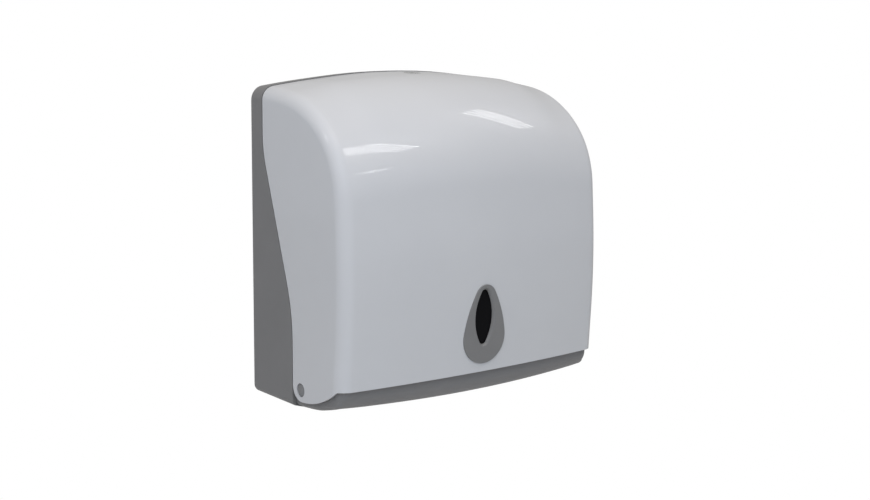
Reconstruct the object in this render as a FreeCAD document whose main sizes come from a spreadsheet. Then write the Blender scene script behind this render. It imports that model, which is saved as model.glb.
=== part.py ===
import FreeCAD, Part
import Sketcher
import math
import os
import re
from FreeCAD import Placement, Rotation, Vector

# Wall-hung dispenser for folded paper towels. X runs along the wall, the wall is the plane Y = 0 and the
# front faces -Y. Heights are worked out from the lowest edge of the housing, and every finished piece is
# then lowered so that the origin lies at the centre of the four wall-screw slots.

doc = FreeCAD.newDocument("TowelDispenser")
sheet = doc.addObject("Spreadsheet::Sheet", "Sizes")

drivingSizes = [
    # outer form: heights, and depths measured out from the wall
    ("bodyWidth", 270), ("sideHeight", 253.6), ("roofCrown", 11.2), ("frontBulge", 7.6),
    ("browSetback", 6.7), ("browHeight", 242.9), ("browRadius", 90),
    ("frontMidDepth", 129), ("frontMidHeight", 99), ("frontRadius", 700),
    ("chinSetback", 7.1), ("chinRiseSide", 9.5), ("chinRiseMiddle", 4), ("chinRadius", 14),
    ("keelSetback", 35), ("keelRadius", 40), ("wingDrop", 20), ("cornerRadius", 12), ("cutReach", 300),
    # the roof falls to the wall behind the cover's rear edge; the form is cut at the wall
    ("rimFall", 2.2), ("rimCrease", 16.5), ("rimCreaseRadius", 25), ("wallReach", 3),
    # walls and the gaps between cover and housing
    ("coverWall", 2.6), ("housingWall", 2.5), ("coverGap", 0.7), ("seam", 0.8), ("joggle", 3.5),
    # outline of the cover's wings, seen from the side
    ("rimDepth", 16.9), ("sweepTop", 200.8), ("sweepTopRadius", 85), ("sweepFoot", 74.3),
    ("sweepFootRadius", 150), ("lobeRadius", 10.7), ("wingKneeAhead", 13.8), ("wingKneeRadius", 37),
    ("wingFrontSetback", 9.1), ("wingFrontRadius", 12), ("coverEdgeHeight", 21.2),
    # front edge of the housing's inner box, behind the wings
    ("lipDepth", 20.4), ("cheekTop", 216), ("cheekTopRadius", 80), ("cheekFootAhead", 8.3),
    ("cheekFoot", 78), ("cheekFootRadius", 60), ("throatSetback", 35), ("throatRadius", 25),
    ("chinTop", 25),
    # back plate, its wall-screw slots and the ribs that the towels slide down
    ("plateSetback", 1.5), ("plateMargin", 9), ("slotSpacingX", 180), ("slotSpacingZ", 150),
    ("lowSlotHeight", 60), ("slotLength", 12), ("slotRadius", 2.6), ("slotBossRadius", 9),
    ("slideRibCount", 5), ("slideRibPitch", 44), ("slideRibWidth", 2), ("slideRibDepth", 3),
    ("slideRibFoot", 16), ("slideRibTop", 236),
    # hinge pins, their bosses, washers and clips
    ("pinDepth", 68.7), ("pinHeight", 14.3), ("pinRadius", 3), ("pinHeadRadius", 5.4),
    ("pinHeadDepth", 1.3), ("pinHeadProud", 0.3), ("pinRunningFit", 0.08), ("pinBossRadius", 6.5),
    ("pinBossLength", 8), ("washerThickness", 0.5), ("washerRadius", 6), ("clipThickness", 0.8),
    ("clipRadius", 5), ("clipGrooveRadius", 2.3), ("pinTail", 1.6),
    # towel outlet in the floor and its snap-in frame
    ("outletHalfLength", 96), ("outletRear", 34), ("outletSetback", 14), ("outletCorner", 14),
    ("fingerRadius", 25), ("fingerReach", 6), ("frameFit", 0.2), ("frameWall", 2), ("frameDrop", 2.4),
    ("flangeWidth", 4), ("flangeThickness", 1.5),
    # adapters that centre a narrower stack of towels
    ("adapterHeight", 70), ("adapterWall", 2), ("adapterDepth", 72), ("adapterRear", 14),
    ("adapterReach", 10),
    # window in the front
    ("windowHeight", 60.7), ("windowTilt", 3.4), ("bezelHeel", 10.9), ("bezelHeelRadius", 21.8),
    ("bezelTip", 21.3), ("bezelTipRadius", 11), ("bezelFlankRadius", 97), ("bezelProud", 0.5),
    ("bezelSeat", 0.9), ("bezelFit", 0.15), ("bezelBevel", 0.8), ("eyeRadius", 33), ("eyeHalfWidth", 8.3),
    ("eyeRise", 5.9), ("eyeCollar", 2.3), ("eyeLedge", 1.1), ("collarDepth", 4), ("paneThickness", 1.4),
    ("studRadius", 1.1), ("studReach", 4.2), ("studSpread", 14), ("studDrop", 12), ("studFoot", 26.5),
    ("clipNutRadius", 3), ("clipNutThickness", 0.6), ("clipNutGap", 0.5),
    # cam lock in the roof
    ("lockDepth", 38), ("lockFaceRadius", 7.5), ("lockProud", 0.3), ("lockSeat", 1.2),
    ("lockBarrelRadius", 5.25), ("lockLength", 13.2), ("lockPadRadius", 11), ("lockPadDepth", 4),
    ("lockWasherRadius", 8), ("lockWasherThickness", 0.8), ("lockNutFlats", 14), ("lockNutHeight", 3),
    ("plugRadius", 3.5), ("plugHeadRadius", 4.6), ("plugHeadDepth", 0.8), ("plugFit", 0.05),
    ("keySlotLength", 5.2), ("keySlotWidth", 1.1), ("keySlotDepth", 7), ("plugSquare", 4.6),
    ("camThickness", 2), ("camHubRadius", 6), ("camReach", 21), ("camWidth", 9), ("camLift", 0.2),
    ("camWasherRadius", 4.4), ("camWasherThickness", 0.6), ("camScrewRadius", 1.25),
    ("camScrewHeadRadius", 2.9), ("camScrewHead", 1.8), ("camScrewLength", 7),
    # strike that the cam turns behind, screwed under the lip
    ("strikeStart", 13.3), ("strikeEnd", 30), ("strikeRootDepth", 9), ("strikeBlockInset", 0.4),
    ("strikeThickness", 1.2), ("strikeTabGap", 0.5), ("strikeTabDrop", 7.7),
    ("strikeBlockTop", 3.6), ("strikeBlockFoot", 9.8), ("strikeScrewRadius", 1.4),
    ("strikeScrewHeadRadius", 2.6), ("strikeScrewHead", 1.7), ("strikeScrewLength", 4.5),
    ("strikeScrewInset", 4.5),
]
workedOutSizes = [
    ("halfWidth", "bodyWidth / 2"),
    ("browDepth", "frontMidDepth - browSetback"),
    ("chinDepth", "frontMidDepth - chinSetback"),
    ("wingFrontDepth", "frontMidDepth - wingFrontSetback"),
    ("keelDepth", "frontMidDepth - keelSetback"),
    ("wingKneeDepth", "pinDepth + wingKneeAhead"),
    ("cheekFootDepth", "pinDepth + cheekFootAhead"),
    ("throatDepth", "frontMidDepth - throatSetback"),
    ("outletFront", "keelDepth - outletSetback"),
    ("coverStep", "coverWall + coverGap"),
    ("lobeRear", "pinDepth - lobeRadius"),
    ("roofSlope", "(sideHeight - browHeight) / (browDepth + frontBulge)"),
    ("roofAngle", "atan(roofSlope)"),
    ("lockHeight", "sideHeight + roofCrown - lockDepth * roofSlope"),
    ("windowDepth", "frontMidDepth + frontBulge - (frontMidHeight - windowHeight)"
                    " * (frontMidDepth - chinDepth) / (frontMidHeight - chinRiseMiddle)"),
    ("screwHeight", "lowSlotHeight + slotSpacingZ / 2"),
    ("camTop", "lockLength + camLift"),
    ("camFoot", "camTop + camThickness"),
    ("strikeFront", "camWidth / 2 + strikeTabGap + strikeThickness"),
    ("strikeRear", "lockDepth - strikeRootDepth"),
    ("strikeBlockFront", "lockDepth - lipDepth + strikeBlockInset"),
    ("strikeLegFoot", "strikeBlockFoot + strikeThickness"),
    ("washerRoom", "(coverGap - washerThickness) / 2"),
    ("eyeCentreAside", "eyeRadius - eyeHalfWidth"),
    ("eyeHalfHeight", "sqrt(eyeRadius * eyeRadius - eyeCentreAside * eyeCentreAside)"),
]
for row, (name, value) in enumerate(drivingSizes, 1):
    sheet.set(f"A{row}", name)
    sheet.set(f"B{row}", str(value))
    sheet.setAlias(f"B{row}", name)
for row, (name, rule) in enumerate(workedOutSizes, len(drivingSizes) + 2):
    sheet.set(f"A{row}", name)
    sheet.set(f"B{row}", "=" + rule)
    sheet.setAlias(f"B{row}", name)
doc.recompute()
sizeNames = {name for name, value in drivingSizes + workedOutSizes}
scratch = doc.addObject("Spreadsheet::Sheet", "Scratch")


def formula(text):
    """The same sum, with each size read from the sheet."""
    return re.sub(r"[A-Za-z]\w*", lambda word: "Sizes." + word[0] if word[0] in sizeNames else word[0], text)


def amount(text):
    """The present value of a sum of sizes."""
    scratch.set("A1", "=" + formula(text))
    scratch.recompute()
    found = scratch.get("A1")
    return float(getattr(found, "Value", found))


def bind(item, **sizes):
    for name, text in sizes.items():
        item.setExpression(name, formula(text))
    return item


def place(item, x="0", y="0", z="0", turn=None, tilt=None):
    """Put an object at x, y, z, turned by a fixed rotation or tilted about X by a size."""
    if tilt:
        item.Placement = Placement(Vector(), Rotation(Vector(1, 0, 0), 1))
        item.setExpression("Placement.Rotation.Angle", formula(tilt))
    elif turn:
        item.Placement = Placement(Vector(), turn)
    for axis, text in zip("xyz", (x, y, z)):
        if text != "0":
            item.setExpression("Placement.Base." + axis, formula(text))
    return item


def newBody(name):
    return doc.addObject("PartDesign::Body", name)


def newSketch(body, name, plane, lift):
    """An empty sketch in a body on one of its origin planes, or standing free across X without a body."""
    if body is None:
        sketch = doc.addObject("Sketcher::SketchObject", name)
        sketch.Placement = Placement(Vector(), Rotation(Vector(1, 1, 1), 120))
        if lift != "0":
            sketch.setExpression("Placement.Base.x", formula(lift))
        return sketch
    sketch = body.newObject("Sketcher::SketchObject", name)
    support = next(item for item in body.Origin.OriginFeatures if item.Role == plane)
    sketch.AttachmentSupport = [(support, "")]
    sketch.MapMode = "FlatFace"
    if lift != "0":
        sketch.setExpression("AttachmentOffset.Base.z", formula(lift))
    return sketch


def outline(body, name, plane, corners, lift="0"):
    """A closed sketch through the corners (across, up, radius), each rounded by a tangent arc."""
    sketch = newSketch(body, name, plane, lift)
    points = [Vector(amount(across), amount(up), 0) for across, up, radius in corners]
    count = len(corners)
    arrive, leave, bends = [], [], []
    for number, (across, up, radius) in enumerate(corners):
        point = points[number]
        back = (points[number - 1] - point).normalize()
        ahead = (points[(number + 1) % count] - point).normalize()
        if radius == "0":
            arrive.append(point)
            leave.append(point)
            bends.append(None)
            continue
        size = amount(radius)
        half = back.getAngle(ahead) / 2
        trim = size / math.tan(half)
        centre = point + (back + ahead).normalize() * (size / math.sin(half))
        arrive.append(point + back * trim)
        leave.append(point + ahead * trim)
        turnsLeft = back.cross(ahead).z < 0
        ends = (arrive[-1], leave[-1]) if turnsLeft else (leave[-1], arrive[-1])
        angles = [math.atan2(end.y - centre.y, end.x - centre.x) for end in ends]
        bends.append((Part.ArcOfCircle(Part.Circle(centre, Vector(0, 0, 1), size), *angles), turnsLeft))
    for number in range(count):
        sketch.addGeometry(Part.LineSegment(leave[number], arrive[(number + 1) % count]))
    for number, (across, up, radius) in enumerate(corners):
        before = (number - 1) % count
        if bends[number] is None:
            sketch.addConstraint(Sketcher.Constraint("Coincident", before, 2, number, 1))
            held = number
        else:
            arc, turnsLeft = bends[number]
            bend = sketch.addGeometry(arc)
            near, far = (1, 2) if turnsLeft else (2, 1)
            sketch.addConstraint(Sketcher.Constraint("Tangent", before, 2, bend, near))
            sketch.addConstraint(Sketcher.Constraint("Tangent", bend, far, number, 1))
            tie = sketch.addConstraint(Sketcher.Constraint("Radius", bend, amount(radius)))
            sketch.setExpression(f"Constraints[{tie}]", formula(radius))
            held = sketch.addGeometry(Part.Point(points[number]), True)
            sketch.addConstraint(Sketcher.Constraint("PointOnObject", held, 1, before))
            sketch.addConstraint(Sketcher.Constraint("PointOnObject", held, 1, number))
        for kind, axis, text, value in (("DistanceX", -2, across, points[number].x),
                                        ("DistanceY", -1, up, points[number].y)):
            if text == "0":
                sketch.addConstraint(Sketcher.Constraint("PointOnObject", held, 1, axis))
            else:
                tie = sketch.addConstraint(Sketcher.Constraint(kind, -1, 1, held, 1, value))
                sketch.setExpression(f"Constraints[{tie}]", formula(text))
    return sketch


def teardrop(body, name, growth="0", lift="0"):
    """Window outline: a heel arc and a tip arc joined by two long flank arcs, all grown outwards alike."""
    sketch = newSketch(body, name, "XZ_Plane", lift)
    grown = "" if growth == "0" else " + " + growth
    heel, tip, flank = (amount(side + grown) for side in
                        ("bezelHeelRadius", "bezelTipRadius", "bezelFlankRadius"))
    low, high = -amount("bezelHeel"), amount("bezelTip")
    span = high - low
    toHeel, toTip = flank - heel, flank - tip
    rise = (toHeel ** 2 - toTip ** 2 + span ** 2) / (2 * span)
    aside = math.sqrt(toHeel ** 2 - rise ** 2)
    heelTurn = math.atan2(-rise, aside)
    tipTurn = math.atan2(span - rise, aside)
    up = Vector(0, 0, 1)
    arcs = (
        (Vector(0, low, 0), heel, math.pi - heelTurn, 2 * math.pi + heelTurn, "bezelHeelRadius"),
        (Vector(-aside, low + rise, 0), flank, heelTurn, tipTurn, "bezelFlankRadius"),
        (Vector(0, high, 0), tip, tipTurn, math.pi - tipTurn, "bezelTipRadius"),
        (Vector(aside, low + rise, 0), flank, math.pi - tipTurn, math.pi - heelTurn, "bezelFlankRadius"),
    )
    for centre, radius, start, end, side in arcs:
        arc = sketch.addGeometry(Part.ArcOfCircle(Part.Circle(centre, up, radius), start, end))
        tie = sketch.addConstraint(Sketcher.Constraint("Radius", arc, radius))
        sketch.setExpression(f"Constraints[{tie}]", formula(side + grown))
    for arc in range(4):
        sketch.addConstraint(Sketcher.Constraint("Tangent", arc, 2, (arc + 1) % 4, 1))
    for arc, text in ((0, "-bezelHeel"), (2, "bezelTip")):
        sketch.addConstraint(Sketcher.Constraint("PointOnObject", arc, 3, -2))
        tie = sketch.addConstraint(Sketcher.Constraint("DistanceY", -1, 1, arc, 3, amount(text)))
        sketch.setExpression(f"Constraints[{tie}]", formula(text))
    return sketch


def pad(body, sketch, length, bothWays=False, reverse=False):
    feature = body.newObject("PartDesign::Pad", sketch.Name + "Pad")
    feature.Profile = sketch
    feature.setExpression("Length", formula(length))
    if bothWays:
        feature.SideType = "Symmetric"
    feature.Reversed = reverse
    return feature


def sideBlock(name, corners):
    """The space inside an outline seen from the side, right across the body."""
    body = newBody(name)
    pad(body, outline(body, name + "Outline", "YZ_Plane", corners), "bodyWidth + cornerRadius", bothWays=True)
    return body


def box(name, length, width, height, x="0", y="0", z="0"):
    item = bind(doc.addObject("Part::Box", name), Length=length, Width=width, Height=height)
    return place(item, x, y, z)


def rod(name, radius, height, x="0", y="0", z="0", turn=None):
    item = bind(doc.addObject("Part::Cylinder", name), Radius=radius, Height=height)
    return place(item, x, y, z, turn)


def joined(name, pieces):
    item = doc.addObject("Part::MultiFuse", name)
    item.Shapes = pieces
    return item


def shared(name, pieces):
    item = doc.addObject("Part::MultiCommon", name)
    item.Shapes = pieces
    return item


def grouped(name, pieces):
    item = doc.addObject("Part::Compound", name)
    item.Links = pieces
    return item


def cut(name, base, tool):
    item = doc.addObject("Part::Cut", name)
    item.Base = base
    item.Tool = tool
    return item


def shrunk(name, source, step):
    item = doc.addObject("Part::Offset", name)
    item.Source = source
    item.setExpression("Value", formula("-(" + step + ")"))
    return item


alongX = Rotation(Vector(0, 1, 0), 90)
intoWall = Rotation(Vector(1, 0, 0), -90)
nodes = []


def node(item, label, x="0", y="0", z="0", tilt=None, mirror=False):
    """Name a finished piece and lower it so that the wall screws' centre is the origin."""
    item.Label = label
    place(item, x, y, "-screwHeight" if z == "0" else z + " - screwHeight", tilt=tilt)
    nodes.append(item)
    return item


# Outer form of the dispenser: three side-view outlines, at both ends and in the middle, lofted across the
# width so that the roof is crowned and the front bulges, with the long corners rounded.

def bodyForm(name, step="0", drop="0"):
    """The form, drawn in by step behind its top, front and sides, its bottom lowered by drop."""
    sections = []
    inward = "" if step == "0" else " + " + step
    down = "" if step == "0" else " - " + step
    for end, across, crown, bulge, rise in (
            ("Left", "-halfWidth" + inward, "", "", "chinRiseSide"),
            ("Middle", "0", " + roofCrown", " - frontBulge", "chinRiseMiddle"),
            ("Right", "halfWidth" + down, "", "", "chinRiseSide")):
        lean = f" + {drop} * (frontMidDepth - chinDepth) / (frontMidHeight - {rise})"
        slope = f"rimCrease * (sideHeight - browHeight) / (browDepth{bulge.replace('-', '+')}{down})"
        sections.append(outline(None, name + end, "YZ_Plane", [
            ("wallReach", "-" + drop if drop != "0" else "0", "0"),
            ("wallReach", "sideHeight" + crown + down + " - rimFall * (1 + wallReach / rimCrease)", "0"),
            ("-rimCrease", "sideHeight" + crown + down + " - " + slope, "rimCreaseRadius"),
            ("-browDepth" + bulge + inward, "browHeight" + crown + down, "browRadius" + down),
            ("-frontMidDepth" + bulge + inward, "frontMidHeight", "frontRadius"),
            ("-chinDepth" + bulge + inward + lean, f"{rise} - {drop}", "chinRadius"),
            ("-keelDepth", "-" + drop if drop != "0" else "0", "keelRadius"),
        ], lift=across))
    loft = doc.addObject("Part::Loft", name + "Loft")
    loft.Sections = sections
    loft.Solid = True
    body = newBody(name)
    body.BaseFeature = loft
    doc.recompute()
    base = body.Group[0]
    side = amount("halfWidth" + down)
    tolerance = 0.01
    longEdges = []
    for number, edge in enumerate(base.Shape.Edges, 1):
        ends = [vertex.Point for vertex in edge.Vertexes]
        onSide = all(abs(point.x - ends[0].x) < tolerance for point in ends)
        onWall = all(abs(point.y - amount("wallReach")) < tolerance for point in ends)
        if onSide and abs(abs(ends[0].x) - side) < tolerance and not onWall:
            longEdges.append(f"Edge{number}")
    rounding = body.newObject("PartDesign::Fillet", name + "Corners")
    rounding.Base = (base, longEdges)
    radius = "cornerRadius" if step == "0" else "cornerRadius - 1.2 * " + step
    rounding.setExpression("Radius", formula(radius))
    return body


coverForm = bodyForm("CoverForm", drop="wingDrop")
skinForm = bodyForm("SkinForm")
innerForm = bodyForm("InnerForm", step="coverStep")
coverHollow = shrunk("CoverHollow", coverForm, "coverWall")
skinHollow = shrunk("SkinHollow", skinForm, "housingWall")
innerHollow = shrunk("InnerHollow", innerForm, "housingWall")


def behindWing(name, shift):
    """Everything on the wall side of the wings' rear edge, moved back by shift."""
    return sideBlock(name, [
        ("0", "-cornerRadius", "0"),
        ("0", "cutReach", "0"),
        ("-rimDepth + " + shift, "cutReach", "0"),
        ("-rimDepth + " + shift, "sweepTop", "sweepTopRadius"),
        ("-lobeRear + " + shift, "sweepFoot", "sweepFootRadius"),
        ("-lobeRear + " + shift, "-cornerRadius", "0"),
    ])


# Back housing: the skin behind the wings, flush with them, stepped inwards to a box that carries on
# under the cover to a low chin, with the floor, the rim and the back plate.

def makeHousing():
    rearSkin = shared("RearSkin", [skinForm, behindWing("SkinRegion", "seam")])
    frontBox = shared("FrontBox", [innerForm, sideBlock("BoxRegion", [
        ("0", "-cornerRadius", "0"),
        ("0", "cutReach", "0"),
        ("-lipDepth", "cutReach", "0"),
        ("-lipDepth", "cheekTop", "cheekTopRadius"),
        ("-cheekFootDepth", "cheekFoot", "cheekFootRadius"),
        ("-throatDepth", "chinTop", "throatRadius"),
        ("-cutReach", "chinTop", "0"),
        ("-cutReach", "-cornerRadius", "0"),
    ])])
    rearHollow = shared("RearHollow", [skinHollow, behindWing("HollowRegion", "seam + joggle")])
    hollow = joined("ShellHollow", [innerHollow, rearHollow])
    shell = cut("Shell", joined("ShellSolid", [rearSkin, frontBox]), hollow)
    plate = shared("Plate", [skinForm, box(
        "PlateBlock", "bodyWidth", "plateSetback + housingWall", "cutReach", x="-halfWidth",
        y="-plateSetback - housingWall")])
    ribs = []
    for number in range(int(amount("slideRibCount"))):
        ribs.append(box(f"SlideRib{number}", "slideRibWidth", "slideRibDepth + housingWall / 2",
                        "slideRibTop - slideRibFoot",
                        x=f"({number} - (slideRibCount - 1) / 2) * slideRibPitch - slideRibWidth / 2",
                        y="-plateSetback - housingWall - slideRibDepth", z="slideRibFoot"))
    pinBosses, pinHoles, slots, slotBosses = [], [], [], []
    for side, across in (("Left", "-halfWidth + coverStep + housingWall / 2"),
                         ("Right", "halfWidth - coverStep - housingWall / 2 - pinBossLength")):
        pinBosses.append(rod("PinBoss" + side, "pinBossRadius", "pinBossLength",
                             across, "-pinDepth", "pinHeight", alongX))
    pinHoles.append(rod("PinHoles", "pinRadius", "bodyWidth",
                        "-halfWidth", "-pinDepth", "pinHeight", alongX))
    for number in range(4):
        sideways = "slotSpacingX / 2" if number % 2 else "-slotSpacingX / 2"
        height = "lowSlotHeight + slotSpacingZ" if number > 1 else "lowSlotHeight"
        straight = "(slotLength / 2 - slotRadius)"
        slots.append(box(f"SlotMiddle{number}", "slotLength - 2 * slotRadius", "cornerRadius",
                         "2 * slotRadius", sideways + " - " + straight, "-cornerRadius",
                         height + " - slotRadius"))
        for end, sign in (("Start", " - "), ("End", " + ")):
            slots.append(rod(f"Slot{end}{number}", "slotRadius", "cornerRadius",
                             sideways + sign + straight, "-cornerRadius", height, intoWall))
        slotBosses.append(rod(f"SlotBoss{number}", "slotBossRadius", "plateSetback + housingWall / 2",
                              sideways, "-plateSetback - housingWall / 2", height, intoWall))
    setback = box("Setback", "bodyWidth - 2 * plateMargin", "plateSetback + housingWall",
                  "sideHeight - 2 * plateMargin", "-halfWidth + plateMargin", "-plateSetback", "plateMargin")
    recessed = cut("RecessedShell", joined("ShellAndPlate", [shell, plate]), setback)
    strikeBlock = place(grouped("StrikeBlockPlaced", [box(
        "StrikeBlock", "strikeEnd - strikeStart", "strikeRear - strikeBlockFront",
        "strikeBlockFoot - strikeBlockTop", "strikeStart", "strikeBlockFront", "-strikeBlockFoot")]),
        y="-lockDepth", z="lockHeight", tilt="roofAngle")
    solid = joined("HousingSolid", [recessed, strikeBlock] + ribs + pinBosses + slotBosses)
    outletBody = newBody("OutletOpening")
    pad(outletBody, outline(outletBody, "OutletOutline", "XY_Plane", outletCorners("0")), "cornerRadius",
        bothWays=True)
    finger = rod("FingerOpening", "fingerRadius", "cornerRadius", "0",
                 "-outletFront + fingerRadius - fingerReach", "-cornerRadius / 2")
    screwHoles = place(strikeScrewHoles(), y="-lockDepth", z="lockHeight", tilt="roofAngle")
    cuts = joined("HousingCuts", pinHoles + slots + [outletBody, finger, screwHoles])
    housing = cut("HousingPiece", solid, cuts)
    return node(housing, "back_housing")


def outletCorners(shrink):
    half, rear, front = "outletHalfLength - " + shrink, "-outletRear - " + shrink, "-outletFront + " + shrink
    if shrink == "0":
        half, rear, front = "outletHalfLength", "-outletRear", "-outletFront"
    radius = "outletCorner" if shrink == "0" else "outletCorner - " + shrink
    return [("-(" + half + ")", rear, radius), ("-(" + half + ")", front, radius),
            (half, front, radius), (half, rear, radius)]


def strikeScrewPlaces():
    along = "(strikeBlockFront + strikeRear) / 2"
    return [("strikeStart + strikeScrewInset", along), ("strikeEnd - strikeScrewInset", along)]


def strikeScrewHoles():
    return joined("StrikeScrewHoles", [
        rod(f"StrikeScrewHole{number}", "strikeScrewRadius", "strikeThickness + strikeScrewLength",
            x, y, "-strikeLegFoot") for number, (x, y) in enumerate(strikeScrewPlaces())])


# Snap-in frame that lines the towel outlet: a collar through the floor and a flange that rests on it.

def makeOutletFrame():
    def ring(name, shrink, foot, height):
        body = newBody(name)
        pad(body, outline(body, name + "Outline", "XY_Plane", outletCorners(shrink), lift=foot), height)
        bulge = rod(name + "Finger", "fingerRadius - (" + shrink + ")", height, "0",
                    "-outletFront + fingerRadius - fingerReach", foot)
        return joined(name + "Whole", [body, bulge])
    collar = ring("Collar", "frameFit", "-frameDrop", "frameDrop + housingWall + flangeThickness")
    flange = ring("Flange", "(-flangeWidth)", "housingWall", "flangeThickness")
    opening = ring("FrameOpening", "(frameFit + frameWall)", "-frameDrop - flangeThickness",
                   "2 * frameDrop + 3 * flangeThickness + housingWall")
    frame = cut("OutletFramePiece", joined("FrameSolid", [collar, flange]), opening)
    return node(frame, "outlet_frame")


# Adapters: a side plate with two fins, one against each side wall, to centre a narrower stack of towels.

def makeAdapters():
    inside = "(halfWidth - coverStep - housingWall)"
    foot = "pinHeight + pinBossRadius + coverGap"
    for side in ("left", "right"):
        pieces = []
        for name, length, width, y in (
                ("Plate", "adapterWall", "adapterDepth", "-adapterRear - adapterDepth"),
                ("RearFin", "adapterReach", "adapterWall", "-adapterRear - adapterWall"),
                ("FrontFin", "adapterReach", "adapterWall", "-adapterRear - adapterDepth")):
            x = "-" + inside if side == "left" else inside + " - " + length
            pieces.append(box(f"Adapter{name}_{side}", length, width, "adapterHeight", x, y, foot))
        node(joined("Adapter_" + side, pieces), "towel_adapter_" + side)


# Hinge pins: a headed pin through the wing's lobe, a washer and the boss, with a clip in its groove.

def makeHinge():
    for side, sign in (("left", "-"), ("right", "")):
        turn = alongX if side == "left" else Rotation(Vector(0, 1, 0), -90)
        outer = sign + "(halfWidth + pinHeadProud)"
        headRoom = "pinHeadDepth + pinHeadProud"
        reach = "pinHeadProud + coverStep + housingWall / 2 + pinBossLength"
        head = rod("PinHead_" + side, "pinHeadRadius", headRoom)
        shank = rod("PinShank_" + side, "pinRadius", reach + " + clipThickness + pinTail")
        groove = cut("PinGroove_" + side,
                     rod("PinGrooveOuter_" + side, "pinRadius + coverGap", "clipThickness", z=reach),
                     rod("PinGrooveCore_" + side, "clipGrooveRadius", "clipThickness", z=reach))
        rounded = doc.addObject("Part::Chamfer", "PinHeadEdge_" + side)
        whole = joined("PinSolid_" + side, [head, shank])
        doc.recompute()
        rim = next(number for number, edge in enumerate(whole.Shape.Edges, 1)
                   if abs(edge.Length - 2 * math.pi * amount("pinHeadRadius")) < 0.01
                   and abs(edge.BoundBox.ZMax) < 0.01)
        rounded.Base = whole
        rounded.Edges = [(rim, amount("pinHeadProud"), amount("pinHeadProud"))]
        pin = node(cut("Pin_" + side, rounded, groove), "hinge_pin_" + side, outer, "-pinDepth", "pinHeight")
        pin.Placement = Placement(pin.Placement.Base, turn)
        washer = cut("Washer_" + side,
                     rod("WasherDisc_" + side, "washerRadius", "washerThickness"),
                     rod("WasherBore_" + side, "pinRadius", "washerThickness"))
        node(washer, "hinge_washer_" + side, sign + "(halfWidth - coverWall - washerRoom)",
             "-pinDepth", "pinHeight")
        washer.Placement = Placement(washer.Placement.Base, turn)
        gap = box("ClipMouth_" + side, "clipRadius", "2 * clipGrooveRadius - coverGap", "clipThickness",
                  y="-clipGrooveRadius + coverGap / 2")
        clip = cut("Clip_" + side, rod("ClipDisc_" + side, "clipRadius", "clipThickness"),
                   joined("ClipHole_" + side, [
                       rod("ClipBore_" + side, "clipGrooveRadius", "clipThickness"), gap]))
        node(clip, "pin_clip_" + side, sign + "(halfWidth + pinHeadProud - (" + reach + "))",
             "-pinDepth", "pinHeight")
        clip.Placement = Placement(clip.Placement.Base, turn)


# Front cover: the outer form in front of the wings' rear edge and above its lower edge, hollowed, with a
# seat for the window, a pad under the lock and countersunk lobes for the hinge pins.

def makeCover():
    region = sideBlock("CoverRegion", [
        ("-rimDepth", "cutReach", "0"),
        ("-rimDepth", "sweepTop", "sweepTopRadius"),
        ("-lobeRear", "sweepFoot", "sweepFootRadius"),
        ("-lobeRear", "pinHeight - lobeRadius", "lobeRadius"),
        ("-wingKneeDepth", "pinHeight - lobeRadius", "wingKneeRadius"),
        ("-wingFrontDepth", "coverEdgeHeight", "wingFrontRadius"),
        ("-cutReach", "coverEdgeHeight", "0"),
        ("-cutReach", "cutReach", "0"),
    ])
    shell = cut("CoverShell", shared("CoverSolid", [coverForm, region]), coverHollow)
    lockPad = place(grouped("LockPadPlaced", [rod(
        "LockPad", "lockPadRadius", "lockPadDepth - coverWall / 2", z="-lockPadDepth")]),
        y="-lockDepth", z="lockHeight", tilt="roofAngle")
    holes = [rod("PinPassage", "pinRadius + pinRunningFit", "bodyWidth", "-halfWidth",
                 "-pinDepth", "pinHeight", alongX)]
    for side, across in (("Left", "-halfWidth"), ("Right", "halfWidth - pinHeadDepth")):
        holes.append(rod("PinSeat" + side, "pinHeadRadius + pinRunningFit", "pinHeadDepth",
                         across, "-pinDepth", "pinHeight", alongX))
    holes.append(place(joined("LockSeatPlaced", [
        rod("LockSeat", "lockFaceRadius", "lockSeat + lockPadDepth", z="-lockSeat"),
        rod("LockPassage", "lockBarrelRadius", "lockLength", z="-lockLength + coverWall")]),
        y="-lockDepth", z="lockHeight", tilt="roofAngle"))
    seatBody = newBody("BezelSeatCut")
    seatOutline = teardrop(seatBody, "BezelSeatOutline", "bezelFit", lift="-bezelSeat")
    pad(seatBody, seatOutline, "bezelSeat + coverWall")
    eyeHole = eye("EyeHole", "eyeCollar + bezelFit", "-2 * collarDepth", "3 * collarDepth")
    studHoles = studs("StudPassage", "studRadius + bezelFit")
    holes.append(place(joined("WindowCuts", [seatBody, eyeHole] + studHoles),
                       y="-windowDepth", z="windowHeight", tilt="windowTilt"))
    cover = cut("CoverPiece", joined("CoverPadded", [shell, lockPad]), joined("CoverCuts", holes))
    return node(cover, "front_cover")


def eye(name, growth, foot, height):
    """Pointed oval prism through the window, its axis square to the front: foot and height run outwards."""
    outward = Rotation(Vector(1, 0, 0), 90)
    grown = "eyeRadius + " + growth
    return shared(name, [
        rod(name + side, grown, height, sign + "eyeCentreAside", "-(" + foot + ")", "eyeRise", outward)
        for side, sign in (("Left", "-"), ("Right", ""))])


def eyeFlare():
    """The bevel round the eye: the same pointed oval, widening outwards by as much as it rises."""
    outward = Rotation(Vector(1, 0, 0), 90)
    cones = []
    for side, sign in (("Left", "-"), ("Right", "")):
        cone = bind(doc.addObject("Part::Cone", "EyeFlare" + side), Radius1="eyeRadius",
                    Radius2="eyeRadius + 2 * bezelBevel", Height="2 * bezelBevel")
        cones.append(place(cone, sign + "eyeCentreAside", "bezelBevel - bezelProud", "eyeRise", outward))
    return shared("EyeFlare", cones)


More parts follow.
